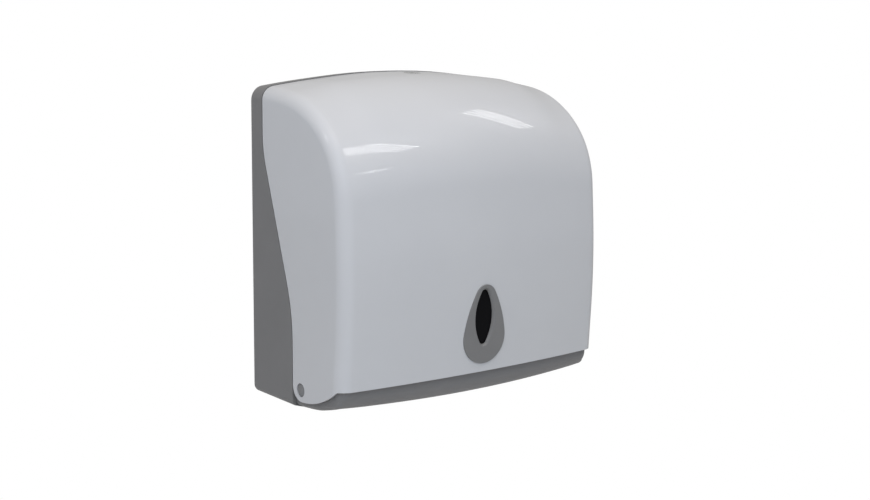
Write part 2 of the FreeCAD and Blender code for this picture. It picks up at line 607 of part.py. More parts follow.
def studs(name, radius, foot="-studReach", height="studReach"):
    outward = Rotation(Vector(1, 0, 0), 90)
    places = [("-studSpread", "-studDrop"), ("studSpread", "-studDrop"), ("0", "-studFoot")]
    return [rod(f"{name}{number}", radius, height, x, "-(" + foot + ")", z, outward)
            for number, (x, z) in enumerate(places)]


# Window: a teardrop bezel in its seat with a collar round the eye and three studs, push-on clips inside
# the cover, and a dark pane in a rebate behind the eye.

def makeWindow():
    body = newBody("BezelPlate")
    plate = pad(body, teardrop(body, "BezelOutline", lift="-bezelSeat"), "bezelSeat + bezelProud")
    doc.recompute()
    frontFace = min(range(len(plate.Shape.Faces)),
                    key=lambda number: plate.Shape.Faces[number].CenterOfMass.y)
    edges = [f"Edge{number}" for number, edge in enumerate(plate.Shape.Edges, 1)
             if any(edge.isSame(other) for other in plate.Shape.Faces[frontFace].Edges)]
    rounding = body.newObject("PartDesign::Fillet", "BezelRim")
    rounding.Base = (plate, edges)
    rounding.setExpression("Radius", formula("bezelProud - 0.05"))
    collar = eye("EyeCollar", "eyeCollar", "-collarDepth", "collarDepth - bezelSeat / 2")
    bezelStuds = studs("Stud", "studRadius", height="studReach - bezelSeat / 2")
    solid = joined("BezelSolid", [body, collar] + bezelStuds)
    bezel = cut("BezelPiece", solid, joined("BezelCuts", [
        eye("EyeOpening", "0", "-2 * collarDepth", "3 * collarDepth"), eyeFlare(),
        eye("PaneRebate", "eyeLedge", "-collarDepth - paneThickness", "2 * paneThickness")]))
    node(bezel, "window_bezel", "0", "-windowDepth", "windowHeight", tilt="windowTilt")
    pane = eye("Pane", "eyeLedge", "-collarDepth", "paneThickness")
    node(pane, "window_pane", "0", "-windowDepth", "windowHeight", tilt="windowTilt")
    foot = "-coverWall - clipNutGap - clipNutThickness"
    discs = joined("ClipNutDiscs", studs("ClipNut", "clipNutRadius", foot, "clipNutThickness"))
    nuts = cut("ClipNutPiece", discs,
               joined("ClipNutBores", studs("ClipNutBore", "studRadius", foot, "clipNutThickness")))
    node(nuts, "bezel_clips", "0", "-windowDepth", "windowHeight", tilt="windowTilt")


# Cam lock: a flanged body clamped in the roof by a washer and nut; its plug carries the cam.

def inRoof(item, label):
    return node(item, label, "0", "-lockDepth", "lockHeight", tilt="roofAngle")


def makeLock():
    body = cut("LockBodyPiece", joined("LockBodySolid", [
        rod("LockFace", "lockFaceRadius", "lockSeat + lockProud", z="-lockSeat"),
        rod("LockBarrel", "lockBarrelRadius", "lockLength", z="-lockLength")]),
        joined("LockBores", [
            rod("PlugBore", "plugRadius + plugFit", "lockLength + lockProud", z="-lockLength"),
            rod("PlugHeadBore", "plugHeadRadius + plugFit", "plugHeadDepth + lockProud",
                z="-plugHeadDepth")]))
    inRoof(body, "lock_body")
    washer = cut("LockWasherPiece", rod("LockWasherDisc", "lockWasherRadius", "lockWasherThickness",
                                        z="-lockPadDepth - lockWasherThickness"),
                 rod("LockWasherBore", "lockBarrelRadius", "lockWasherThickness",
                     z="-lockPadDepth - lockWasherThickness"))
    inRoof(washer, "lock_washer")
    hexagon = bind(doc.addObject("Part::Prism", "NutHexagon"), Circumradius="lockNutFlats / sqrt(3)",
                   Height="lockNutHeight")
    hexagon.Polygon = 6
    nutFoot = "-lockPadDepth - lockWasherThickness - lockNutHeight"
    place(hexagon, z=nutFoot)
    inRoof(cut("LockNutPiece", hexagon, rod("NutBore", "lockBarrelRadius", "lockNutHeight", z=nutFoot)),
           "lock_nut")
    plug = cut("PlugPiece", joined("PlugSolid", [
        rod("PlugShank", "plugRadius", "camTop", z="-camTop"),
        rod("PlugHead", "plugHeadRadius", "plugHeadDepth + lockProud - 3 * plugFit",
            z="-plugHeadDepth + plugFit"),
        box("PlugTenon", "plugSquare", "plugSquare", "camThickness", "-plugSquare / 2", "-plugSquare / 2",
            "-camFoot + plugFit")]),
        joined("PlugCuts", [
            box("KeySlot", "keySlotWidth", "keySlotLength", "keySlotDepth + lockProud",
                "-keySlotWidth / 2", "-keySlotLength / 2", "-keySlotDepth"),
            rod("CamScrewHole", "camScrewRadius", "camScrewLength", z="-camFoot")]))
    inRoof(plug, "lock_plug")
    cam = cut("CamPiece", joined("CamSolid", [
        rod("CamHub", "camHubRadius", "camThickness", z="-camFoot"),
        box("CamArm", "camWidth", "camReach - camWidth / 2", "camThickness",
            "-camWidth / 2", "0", "-camFoot"),
        rod("CamTip", "camWidth / 2", "camThickness", "0", "camReach - camWidth / 2", "-camFoot")]),
        box("CamSquare", "plugSquare", "plugSquare", "camThickness", "-plugSquare / 2", "-plugSquare / 2",
            "-camFoot"))
    inRoof(cam, "lock_cam")
    washerFoot = "-camFoot - camWasherThickness"
    inRoof(cut("CamWasherPiece", rod("CamWasherDisc", "camWasherRadius", "camWasherThickness", z=washerFoot),
               rod("CamWasherBore", "camScrewRadius", "camWasherThickness", z=washerFoot)), "cam_washer")
    screw = joined("CamScrewPiece", [
        rod("CamScrewHead", "camScrewHeadRadius", "camScrewHead", z=washerFoot + " - camScrewHead"),
        rod("CamScrewShank", "camScrewRadius", "camScrewLength", z=washerFoot)])
    inRoof(screw, "cam_screw")


# Strike: a steel angle under the lip beside the lock, its tab just in front of the turned cam.

def makeStrike():
    legs = joined("StrikeLegs", [
        box("StrikeLeg", "strikeEnd - strikeStart", "strikeFront + strikeRear", "strikeThickness",
            "strikeStart", "-strikeFront", "-strikeLegFoot"),
        box("StrikeTab", "strikeEnd - strikeStart", "strikeThickness", "strikeTabDrop",
            "strikeStart", "-strikeFront", "-strikeBlockFoot - strikeTabDrop")])
    holes = joined("StrikePlateHoles", [
        rod(f"StrikePlateHole{number}", "strikeScrewRadius", "strikeThickness", x, y, "-strikeLegFoot")
        for number, (x, y) in enumerate(strikeScrewPlaces())])
    inRoof(cut("StrikePiece", legs, holes), "strike_plate")
    screws = []
    for number, (x, y) in enumerate(strikeScrewPlaces()):
        screws.append(rod(f"StrikeScrewHead{number}", "strikeScrewHeadRadius", "strikeScrewHead",
                          x, y, "-strikeLegFoot - strikeScrewHead"))
        screws.append(rod(f"StrikeScrewShank{number}", "strikeScrewRadius",
                          "strikeThickness + strikeScrewLength", x, y, "-strikeLegFoot"))
    inRoof(joined("StrikeScrewPieces", screws), "strike_screws")


makeHousing()
makeOutletFrame()
makeAdapters()
makeHinge()
makeCover()
makeWindow()
makeLock()
makeStrike()
doc.removeObject(scratch.Name)
doc.recompute()

failed = [item.Label for item in doc.Objects if "Invalid" in item.State or "Error" in item.State]
if failed:
    raise RuntimeError("objects that did not build: " + ", ".join(failed))
for item in nodes:
    if item.Shape.isNull() or not item.Shape.isValid():
        raise RuntimeError("the shape is not sound: " + item.Label)

os.makedirs("parts", exist_ok=True)
for item in nodes:
    item.Shape.exportStep(f"parts/{item.Label}.step")
    bounds = item.Shape.BoundBox
    print(f"{item.Label:22s} solids {len(item.Shape.Solids)} volume {item.Shape.Volume:10.1f}"
          f" Y {bounds.YMin:7.1f} {bounds.YMax:7.1f} Z {bounds.ZMin:7.1f} {bounds.ZMax:7.1f}")
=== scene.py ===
import math
import bmesh
import bpy
import numpy as np
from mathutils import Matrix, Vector
from mathutils.geometry import delaunay_2d_cdt


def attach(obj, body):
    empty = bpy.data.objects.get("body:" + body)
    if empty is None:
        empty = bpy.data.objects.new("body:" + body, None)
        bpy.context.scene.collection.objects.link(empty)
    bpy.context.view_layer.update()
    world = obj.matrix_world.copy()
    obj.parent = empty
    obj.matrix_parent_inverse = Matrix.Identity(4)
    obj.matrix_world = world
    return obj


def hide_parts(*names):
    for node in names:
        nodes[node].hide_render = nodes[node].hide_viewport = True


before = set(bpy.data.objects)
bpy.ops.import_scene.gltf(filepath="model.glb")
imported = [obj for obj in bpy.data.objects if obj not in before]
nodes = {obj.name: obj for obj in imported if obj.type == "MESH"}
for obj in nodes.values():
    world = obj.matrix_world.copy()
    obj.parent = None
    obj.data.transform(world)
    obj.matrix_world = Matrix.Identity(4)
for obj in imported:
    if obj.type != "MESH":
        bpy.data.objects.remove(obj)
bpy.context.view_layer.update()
scene = bpy.context.scene
millimetre = 0.001

# Sizes are in millimetres. Heights in the shape dictionaries count from the lowest edge of the housing, as on
# the drawing, and liftToFrame lowers them so that the centre of the wall screws is the origin.

dispenser = {
    "halfWidth": 135.0, "sideHeight": 253.6, "roofCrown": 11.2, "frontBulge": 7.59,
    "browDepth": 122.3, "browHeight": 242.9, "browRadius": 90.0,
    "midDepth": 129.0, "midHeight": 99.0, "midRadius": 700.0,
    "chinDepth": 121.9, "chinRiseSide": 9.5, "chinRiseMiddle": 4.0, "wingDrop": 20.0,
    "rimFall": 2.2, "rimCrease": 16.5, "rimCreaseRadius": 25.0,
    "cornerRadius": 12.0, "originHeight": 135.0, "pastWall": 3.0,
}


# each vector divided by its own length
def unit(vectors):
    return vectors / np.linalg.norm(vectors, axis=-1, keepdims=True)


# a smooth step from 0 at start to 1 at end: share squared * (3 - 2 * share)
def smooth(value, start, end):
    share = np.clip((value - start) / (end - start), 0, 1)
    return share * share * (3 - 2 * share)


# (cosine, sine) of evenly spaced turns, once round
def unitCircle(count):
    turn = np.linspace(0, 2 * math.pi, count, endpoint=False)
    return np.stack([np.cos(turn), np.sin(turn)], axis=1)


# millimetres from the housing's foot become metres from the wall screws' centre
def liftToFrame(points):
    moved = np.array(points, dtype=float)
    moved[..., 2] -= dispenser["originHeight"]
    return moved * millimetre


# Straight runs between corners (two coordinates and a radius), joined by tangent arcs: one array of points for
# each arc and each run. An arc's centre lies on the bisector of its corner at radius / sin(half angle), and
# the runs are cut back by radius / tan(half angle). Counts holds the steps of each corner's arc and of the
# run after it.
def roundedPath(corners, counts):
    table = np.array(corners, dtype=float)
    xy, radii = table[:, :2], table[:, 2]
    back = unit(np.roll(xy, 1, axis=0) - xy)
    ahead = unit(np.roll(xy, -1, axis=0) - xy)
    half = np.arccos(np.clip((back * ahead).sum(axis=1), -1, 1)) / 2
    trim = np.where(radii > 0, radii / np.tan(half), 0)
    start, end = xy + back * trim[:, None], xy + ahead * trim[:, None]
    pieces = []
    for number, (arcSteps, runSteps) in enumerate(counts):
        if radii[number] > 0:
            centre = xy[number] + unit(back[number] + ahead[number]) * radii[number] / math.sin(half[number])
            first, last = start[number] - centre, end[number] - centre
            sweep = math.atan2(first[0] * last[1] - first[1] * last[0], first @ last)
            angle = math.atan2(first[1], first[0]) + np.linspace(0, sweep, arcSteps + 1)
            pieces.append(centre + radii[number] * np.stack([np.cos(angle), np.sin(angle)], axis=1))
        if number < len(xy) - 1:
            share = np.linspace(0, 1, runSteps + 1)[:, None]
            pieces.append(end[number] * (1 - share) + start[number + 1] * share)
    return pieces


# the quads of a grid of vertices that are numbered row by row
def gridFaces(rows, columns, wrapRows=False, wrapColumns=False):
    down = np.arange(rows if wrapRows else rows - 1)
    across = np.arange(columns if wrapColumns else columns - 1)
    near, left = np.meshgrid(down, across, indexing="ij")
    near, far, right = near * columns, (near + 1) % rows * columns, (left + 1) % columns
    corners = [near + left, near + right, far + right, far + left]
    return np.stack(corners, axis=-1).reshape(-1, 4)


# turns the faces so that on the whole they face away from a point, or along a direction
def facing(points, faces, away=None, towards=None):
    corners = points[faces]
    normal = np.cross(corners[:, 2] - corners[:, 0], corners[:, -1] - corners[:, 1])
    aim = corners.mean(axis=1) - np.array(away) if away is not None else np.array(towards, dtype=float)
    return faces[:, ::-1] if (normal * aim).sum() < 0 else faces


# vertices and faces of the patches that make up one piece
class Patchwork:
    def __init__(self):
        self.points, self.faces, self.count = [], [], 0

    def add(self, points, faces, away=None, towards=None):
        points = np.asarray(points, dtype=float).reshape(-1, 3)
        if away is not None or towards is not None:
            faces = facing(points, faces, away, towards)
        self.points.append(points)
        self.faces.extend((faces + self.count).tolist())
        self.count += len(points)

    def grid(self, points, wrapRows=False, wrapColumns=False, away=None, towards=None):
        self.add(points, gridFaces(*points.shape[:2], wrapRows, wrapColumns), away, towards)


# one object at the origin from its patches, with its seams welded and its poles closed
def makePiece(name, patches, finish, body, weld=0.002, replaces=()):
    mesh = bpy.data.meshes.new(name)
    mesh.from_pydata(liftToFrame(np.concatenate(patches.points)).tolist(), [], patches.faces)
    work = bmesh.new()
    work.from_mesh(mesh)
    bmesh.ops.remove_doubles(work, verts=work.verts, dist=weld * millimetre)
    bmesh.ops.dissolve_degenerate(work, edges=work.edges, dist=weld * millimetre / 2)
    work.to_mesh(mesh)
    work.free()
    mesh.materials.append(materials[finish])
    piece = bpy.data.objects.new(name, mesh)
    scene.collection.objects.link(piece)
    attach(piece, body)
    if replaces:
        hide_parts(*replaces)
    return piece


# applies the piece's modifiers to its mesh
def settle(piece):
    reader = piece.evaluated_get(bpy.context.evaluated_depsgraph_get())
    mesh = bpy.data.meshes.new_from_object(reader)
    old = piece.data
    piece.modifiers.clear()
    piece.data = mesh
    mesh.name = old.name
    bpy.data.meshes.remove(old)


shading = {"rounded": 80, "angled": 60}  # how much more the larger faces count


# smooth shading whose normals follow the larger faces, sharp where an edge turns by more than the angle
def shadeEvenly(piece, sharpAngle=None):
    piece.data.polygons.foreach_set("use_smooth", np.ones(len(piece.data.polygons), dtype=bool))
    if sharpAngle:
        piece.data.set_sharp_from_angle(angle=math.radians(sharpAngle))
    even = piece.modifiers.new("shading", "WEIGHTED_NORMAL")
    even.mode, even.weight = "FACE_AREA", shading["angled" if sharpAngle else "rounded"]
    even.keep_sharp = bool(sharpAngle)
    settle(piece)


# gives a sheet its wall inwards, rounds the edges that turn by more than the angle and shades the piece
def finishEdges(piece, bevel, angle, segments=2, wall=0.0):
    if wall:
        thick = piece.modifiers.new("wall", "SOLIDIFY")
        thick.thickness, thick.offset = wall * millimetre, -1
        thick.use_even_offset = thick.use_quality_normals = True
    edge = piece.modifiers.new("edge", "BEVEL")
    edge.width, edge.segments = bevel * millimetre, segments
    edge.limit_method, edge.angle_limit = "ANGLE", math.radians(angle)
    edge.use_clamp_overlap = True
    settle(piece)
    shadeEvenly(piece)


# a profile of (radius, height along the axis) turned round the axis: centre + height * axis + radius * spoke
def lathe(patches, profile, centre, axis, count, ring=False):
    profile = np.array(profile, dtype=float)
    axis = unit(np.array(axis, dtype=float))
    side = unit(np.cross(axis, [1.0, 0, 0] if abs(axis[0]) < 0.9 else [0, 1.0, 0]))
    circle = unitCircle(count)
    spokes = circle[:, :1] * side + circle[:, 1:] * np.cross(axis, side)
    points = np.array(centre) + profile[:, None, 1:2] * axis + profile[:, None, 0:1] * spokes
    middle = np.array(centre) + axis * profile[:, 1].mean()
    patches.grid(points, wrapRows=ring, wrapColumns=True, away=middle)
    return patches


# gives a node's sockets their own values, by name or number
def setInputs(node, values):
    for key, value in values.items():
        node.inputs[key].default_value = value
    return node


# adds a node: settings are its properties, inputs its sockets' own values
def put(tree, kind, inputs=None, **settings):
    node = tree.nodes.new(kind)
    for key, value in settings.items():
        setattr(node, key, value)
    return setInputs(node, inputs or {})


# links each pair of an output and an input
def join(tree, *pairs):
    for source, target in pairs:
        tree.links.new(source, target)


# a material, its tree and its shader, with the shader's own values set
def newMaterial(name, values):
    material = bpy.data.materials.new(name)
    material.use_nodes = True
    return material, material.node_tree, setInputs(material.node_tree.nodes["Principled BSDF"], values)


# a shader group from the names and kinds of its inputs and outputs
def newGroup(name, takes, gives):
    group = bpy.data.node_groups.new(name, "ShaderNodeTree")
    for way, sockets in (("INPUT", takes), ("OUTPUT", gives)):
        for label, kind in sockets.items():
            group.interface.new_socket(label, in_out=way, socket_type="NodeSocket" + kind)
    return group, group.nodes.new("NodeGroupInput"), group.nodes.new("NodeGroupOutput")


# Spark-eroded mould grain and a slow drift: height = grain + share * (drift - grain), and roughness =
# its middle value + spread * (height - a half).
def makeGrainGroup():
    group, entry, out = newGroup("mouldGrain", {
        "Grain Size": "Float", "Drift Size": "Float", "Drift Share": "Float", "Roughness": "Float",
        "Spread": "Float"}, {"Height": "Float", "Roughness": "Float"})
    place = put(group, "ShaderNodeTexCoord")
    grain = put(group, "ShaderNodeTexNoise", {"Detail": 3.0, "Roughness": 0.55})
    drift = put(group, "ShaderNodeTexNoise", {"Detail": 2.0, "Roughness": 0.5})
    for texture, size in ((grain, "Grain Size"), (drift, "Drift Size")):
        join(group, (place.outputs["Object"], texture.inputs["Vector"]),
             (entry.outputs[size], texture.inputs["Scale"]))
    mixed = put(group, "ShaderNodeMix", data_type="FLOAT")
    join(group, (entry.outputs["Drift Share"], mixed.inputs[0]), (grain.outputs[0], mixed.inputs[2]),
         (drift.outputs[0], mixed.inputs[3]), (mixed.outputs[0], out.inputs["Height"]))
    centred = put(group, "ShaderNodeMath", {1: 0.5}, operation="SUBTRACT")
    scaled = put(group, "ShaderNodeMath", operation="MULTIPLY_ADD")
    join(group, (mixed.outputs[0], centred.inputs[0]), (centred.outputs[0], scaled.inputs[0]),
         (entry.outputs["Spread"], scaled.inputs[1]), (entry.outputs["Roughness"], scaled.inputs[2]),
         (scaled.outputs[0], out.inputs["Roughness"]))
    return group


# two close tones of one colour, mixed by broad clouds, as pigment lies in a moulding
def makeTintGroup():
    group, entry, out = newGroup("pigmentClouds", {
        "Tone": "Color", "Other Tone": "Color", "Cloud Size": "Float"}, {"Color": "Color"})
    place = put(group, "ShaderNodeTexCoord")
    clouds = put(group, "ShaderNodeTexNoise", {"Detail": 4.0, "Roughness": 0.6})
    join(group, (place.outputs["Object"], clouds.inputs["Vector"]),
         (entry.outputs["Cloud Size"], clouds.inputs["Scale"]))
    spread = put(group, "ShaderNodeMapRange", {"From Min": 0.3, "From Max": 0.7})
    join(group, (clouds.outputs[0], spread.inputs["Value"]))
    mixed = put(group, "ShaderNodeMix", data_type="RGBA")
    join(group, (spread.outputs[0], mixed.inputs[0]), (entry.outputs["Tone"], mixed.inputs[6]),
         (entry.outputs["Other Tone"], mixed.inputs[7]), (mixed.outputs[2], out.inputs["Color"]))
    return group


grainGroup = makeGrainGroup()
tintGroup = makeTintGroup()

# Clouds, grain and drift are noise scales: a larger number is a finer pattern. Relief is in metres.
finishes = {
    "coverPlastic": {
        "tone": (0.470, 0.480, 0.497), "otherTone": (0.456, 0.466, 0.484), "clouds": 9.0,
        "grain": 900.0, "drift": 95.0, "driftShare": 0.85,
        "roughness": 0.34, "spread": 0.05, "relief": 0.00004,
        "shader": {"Coat Weight": 0.55, "Coat Roughness": 0.015, "Coat IOR": 1.45, "IOR": 1.48}},
    "housingPlastic": {
        "tone": (0.158, 0.157, 0.158), "otherTone": (0.146, 0.146, 0.147), "clouds": 16.0,
        "grain": 1500.0, "drift": 60.0, "driftShare": 0.25,
        "roughness": 0.5, "spread": 0.12, "relief": 0.00005, "shader": {"IOR": 1.47}},
    "bezelPlastic": {
        "tone": (0.160, 0.160, 0.160), "otherTone": (0.150, 0.150, 0.151), "clouds": 30.0,
        "grain": 2000.0, "drift": 120.0, "driftShare": 0.3,
        "roughness": 0.32, "spread": 0.08, "relief": 0.00003, "shader": {"IOR": 1.47}},
    "pinPlastic": {
        "tone": (0.165, 0.167, 0.171), "otherTone": (0.158, 0.157, 0.158), "clouds": 60.0,
        "grain": 1800.0, "drift": 200.0, "driftShare": 0.3,
        "roughness": 0.4, "spread": 0.1, "relief": 0.00003, "shader": {"IOR": 1.47}},
    "smokedPane": {
        "tone": (0.0022, 0.0022, 0.0028), "otherTone": (0.0032, 0.0032, 0.004), "clouds": 40.0,
        "grain": 700.0, "drift": 60.0, "driftShare": 0.9,
        "roughness": 0.3, "spread": 0.05, "relief": 0.00002,
        "shader": {"IOR": 1.5, "Specular IOR Level": 0.06}},
    "zincSteel": {
        "tone": (0.62, 0.63, 0.64), "otherTone": (0.50, 0.51, 0.53), "clouds": 120.0,
        "grain": 1800.0, "drift": 300.0, "driftShare": 0.35,
        "roughness": 0.36, "spread": 0.25, "relief": 0.00003, "shader": {"Metallic": 1.0}},
    "lockMetal": {
        "tone": (0.80, 0.80, 0.79), "otherTone": (0.72, 0.72, 0.71), "clouds": 120.0,
        "grain": 1200.0, "drift": 300.0, "driftShare": 0.35,
        "roughness": 0.26, "spread": 0.25, "relief": 0.00002, "shader": {"Metallic": 1.0}},
}


# clouded pigment as the base colour, grain as the roughness and the relief
def makeFinish(name, recipe):
    material, tree, shader = newMaterial(name, recipe["shader"])
    tint = put(tree, "ShaderNodeGroup", {
        "Tone": (*recipe["tone"], 1), "Other Tone": (*recipe["otherTone"], 1), "Cloud Size": recipe["clouds"],
    }, node_tree=tintGroup)
    grain = put(tree, "ShaderNodeGroup", {
        "Grain Size": recipe["grain"], "Drift Size": recipe["drift"], "Drift Share": recipe["driftShare"],
        "Roughness": recipe["roughness"], "Spread": recipe["spread"],
    }, node_tree=grainGroup)
    bump = put(tree, "ShaderNodeBump", {"Distance": recipe["relief"], "Strength": 1.0})
    join(tree, (tint.outputs["Color"], shader.inputs["Base Color"]),
         (grain.outputs["Roughness"], shader.inputs["Roughness"]),
         (grain.outputs["Height"], bump.inputs["Height"]), (bump.outputs["Normal"], shader.inputs["Normal"]))
    return material


materials = {name: makeFinish(name, recipe) for name, recipe in finishes.items()}
print("materials made:", len(materials))


# The photo's view. Focal length and shift are in the photo's pixels, angles in degrees.
viewpoint = {
    "place": (-0.73070, -0.97676, 0.14295), "lookDown": 5.165, "heading": -38.851,
    "photoWidth": 870, "focalLength": 1400, "shift": -70, "sensor": 36,
}
camera = bpy.data.objects.new("camera", bpy.data.cameras.new("camera"))
camera.data.sensor_width = viewpoint["sensor"]
camera.data.lens = viewpoint["focalLength"] / viewpoint["photoWidth"] * viewpoint["sensor"]
camera.data.shift_y = viewpoint["shift"] / viewpoint["photoWidth"]
camera.location = viewpoint["place"]
camera.rotation_euler = (math.radians(90 - viewpoint["lookDown"]), 0, math.radians(viewpoint["heading"]))
scene.collection.objects.link(camera)
scene.camera = camera
scene.view_settings.view_transform = "Standard"

# Places and sizes are in metres, powers in watts, turns in degrees.
studio = {
    "ambient": 0.388, "mirrored": 0.47, "ambientTone": (1.0, 0.967, 0.885),
    # soft panels: name, power, tone, width, height, place, aimed at
    "panels": [
        ("topPanel", 12.1, (1.0, 0.915, 0.863), 0.9, 0.7, (-0.35, -0.55, 1.25), (0, -0.06, 0.05)),
        ("frontPanel", 3.0, (0.48, 0.65, 1.0), 0.8, 0.9, (0.35, -1.5, 0.45), (0, -0.06, 0.0)),
        ("sidePanel", 2.7, (0.54, 0.66, 1.0), 0.7, 0.9, (-1.5, -0.25, 0.25), (0, -0.06, 0.0)),
        ("leftPanel", 6.8, (0.75, 0.875, 1.0), 0.9, 0.9, (-0.9, -1.0, 0.8), (0, -0.06, 0.0)),
        ("footPanel", 0.8, (1.0, 0.98, 0.94), 0.7, 0.7, (-1.1, -0.55, -0.45), (0, -0.06, -0.13)),
    ],
    # ceiling lamps, each a few bright tubes side by side: name, power of a tube, length, place, turn
    "lampHeight": 1.3, "lampTone": (1.0, 1.0, 1.0), "tubes": 4, "tubePitch": 0.052, "tubeWidth": 0.018,
    "lamps": [
        ("nearLamp", 1.0, 0.84, (0.63, -1.29), -38.5), ("rightLamp", 0.64, 0.76, (1.366, -0.50), -34.0),
        ("farLamp", 0.36, 0.32, (1.18, -2.82), -24.7), ("leftLamp", 0.9, 0.70, (-1.73, 0.02), -38.5),
        ("sideLamp", 0.9, 0.70, (-2.50, -1.37), -38.5),
    ],
    "floorHeight": -0.55, "floorReach": 4, "floorRoughness": 0.9, "floorTone": (0.82, 0.82, 0.82, 1),
}


def areaLight(name, power, tone, width, height, place, turn, mirrored):
    light = bpy.data.lights.new(name, "AREA")
    light.shape, light.size, light.size_y, light.energy, light.color = "RECTANGLE", width, height, power, tone
    panel = bpy.data.objects.new(name, light)
    panel.location, panel.rotation_euler = place, turn
    panel.visible_glossy = mirrored
    scene.collection.objects.link(panel)


# the panels only light the surfaces softly; the lamps are what the coat mirrors
for name, power, tone, width, height, place, aim in studio["panels"]:
    turn = (Vector(aim) - Vector(place)).to_track_quat("-Z", "Y").to_euler()
    areaLight(name, power, tone, width, height, place, turn, False)
for name, power, length, place, degrees in studio["lamps"]:
    turn = math.radians(degrees)
    for tube in range(studio["tubes"]):
        aside = (tube - (studio["tubes"] - 1) / 2) * studio["tubePitch"]
        centre = (place[0] - aside * math.sin(turn), place[1] + aside * math.cos(turn), studio["lampHeight"])
        areaLight(f"{name}{tube + 1}", power, studio["lampTone"], length, studio["tubeWidth"], centre,
                  (0, 0, turn), True)


# the camera sees plain white, the coat mirrors a pale room, and everything else is lit by the dimmer air
def makeAir():
    world = bpy.data.worlds.new("studio")
    scene.world = world
    world.use_nodes = True
    tree = world.node_tree
    seen = put(tree, "ShaderNodeLightPath")
    room = put(tree, "ShaderNodeMapRange", {"To Min": studio["ambient"], "To Max": studio["mirrored"]})
    glow = put(tree, "ShaderNodeMix", {3: 1.0}, data_type="FLOAT")
    pale = put(tree, "ShaderNodeMath", operation="MAXIMUM")
    tone = put(tree, "ShaderNodeMix", {6: (*studio["ambientTone"], 1), 7: (1.0, 1.0, 1.0, 1)}, data_type="RGBA")
    join(tree, (seen.outputs["Is Glossy Ray"], room.inputs["Value"]),
         (seen.outputs["Is Camera Ray"], glow.inputs[0]), (room.outputs[0], glow.inputs[2]),
         (seen.outputs["Is Camera Ray"], pale.inputs[0]), (seen.outputs["Is Glossy Ray"], pale.inputs[1]),
         (pale.outputs[0], tone.inputs[0]), (glow.outputs[0], tree.nodes["Background"].inputs["Strength"]),
         (tone.outputs[2], tree.nodes["Background"].inputs["Color"]))


# a level square that the camera sees as plain white and that throws pale light back
def makeFloor():
    span = np.linspace(-studio["floorReach"], studio["floorReach"], 3)
    across, depth = np.meshgrid(span, span, indexing="ij")
    points = np.stack([across, depth, np.full_like(across, studio["floorHeight"])], axis=-1).reshape(-1, 3)
    mesh = bpy.data.meshes.new("floor")
    mesh.from_pydata(points.tolist(), [], facing(points, gridFaces(3, 3), towards=(0, 0, 1)).tolist())
    material, tree, shader = newMaterial("floorWhite", {
        "Roughness": studio["floorRoughness"], "Base Color": studio["floorTone"]})
    glow = put(tree, "ShaderNodeEmission", {"Strength": 1.0})
    seen = put(tree, "ShaderNodeLightPath")
    mixed = put(tree, "ShaderNodeMixShader")
    join(tree, (seen.outputs["Is Camera Ray"], mixed.inputs[0]), (shader.outputs[0], mixed.inputs[1]),
         (glow.outputs[0], mixed.inputs[2]),
         (mixed.outputs[0], tree.nodes["Material Output"].inputs["Surface"]))
    mesh.materials.append(material)
    floor = bpy.data.objects.new("floor", mesh)
    scene.collection.objects.link(floor)


makeAir()
makeFloor()
print("camera, light and floor placed")


# The cover: a crowned sheet with turned-down sides, openings for lock and window, and a wall inwards.
coverForm = {
    "rearEdge": 16.9, "lowEdge": 21.2, "wall": 2.6, "edge": 0.35, "edgeAngle": 38, "edgeSegments": 3,
    "inside": (0, -60, 120),  # a point that the outer surface faces away from
    # the steps of the section's arcs and runs, where the crease is searched, and the last place
    "pathSteps": [(1, 1), (64, 64), (256, 64), (256, 64), (1, 1)],
    "creaseSearch": (1.0, 2.0), "pathEnd": 6.9999,
    # rows along those arcs and runs, columns across, and the least step from row to row of the crease
    "creaseRows": 3, "roofRows": 14, "browRows": 44, "upperRows": 16, "midRows": 26, "lowRows": 12,
    "lastRow": 6.999, "halfColumns": 34, "cornerColumns": 12, "leastStep": 0.08, "slopeStep": 0.004,
    # rounds of the searches, and how the rings crowd towards an opening
    "halvings": 34, "leanRounds": 6, "edgeRounds": 12, "crowding": 0.9,
    # the dip of the roof's rear edge under the housing's rim
    "dip": 0.55, "dipEnd": 29.5, "dipFoot": 236.0,
}
# the roof's fall towards its sides, behind and in front: how much, and from where to where it comes in
shoulders = {
    "rear": 1.1, "rearWidth": (20.0, 90.0), "front": 2.6, "frontWidth": (85.0, 118.0),
    "depth": (16.0, 60.0), "height": (190.0, 245.0),
}
# the wing's edge in the side view, and the round seat of the hinge pin
wingForm = {
    "sweepTop": 200.8, "sweepTopRadius": 85.0, "sweepFoot": 74.3, "sweepFootRadius": 150.0,
    "lobeRear": 58.0, "lobeFoot": 5.0, "lobeRadius": 11.94, "kneeDepth": 94.82, "kneeRadius": 76.62,
    "frontCorner": 117.19, "frontCornerRadius": 3.88, "pastFront": -140.0, "pastTop": 300.0,
    "nearPoints": 0.1, "joinGap": 0.3, "frontTop": 30.0,
    "outlineSteps": [(1, 1), (4, 1), (28, 1), (28, 24), (28, 28), (22, 20), (1, 1)],
    "pinDepth": 68.7, "pinHeight": 14.3, "pinSeat": 5.48, "seatRing": 8.4, "seatCount": 64, "seatRounds": 3,
    "ringSlack": 0.01, "meetWithin": 1e-6,
}
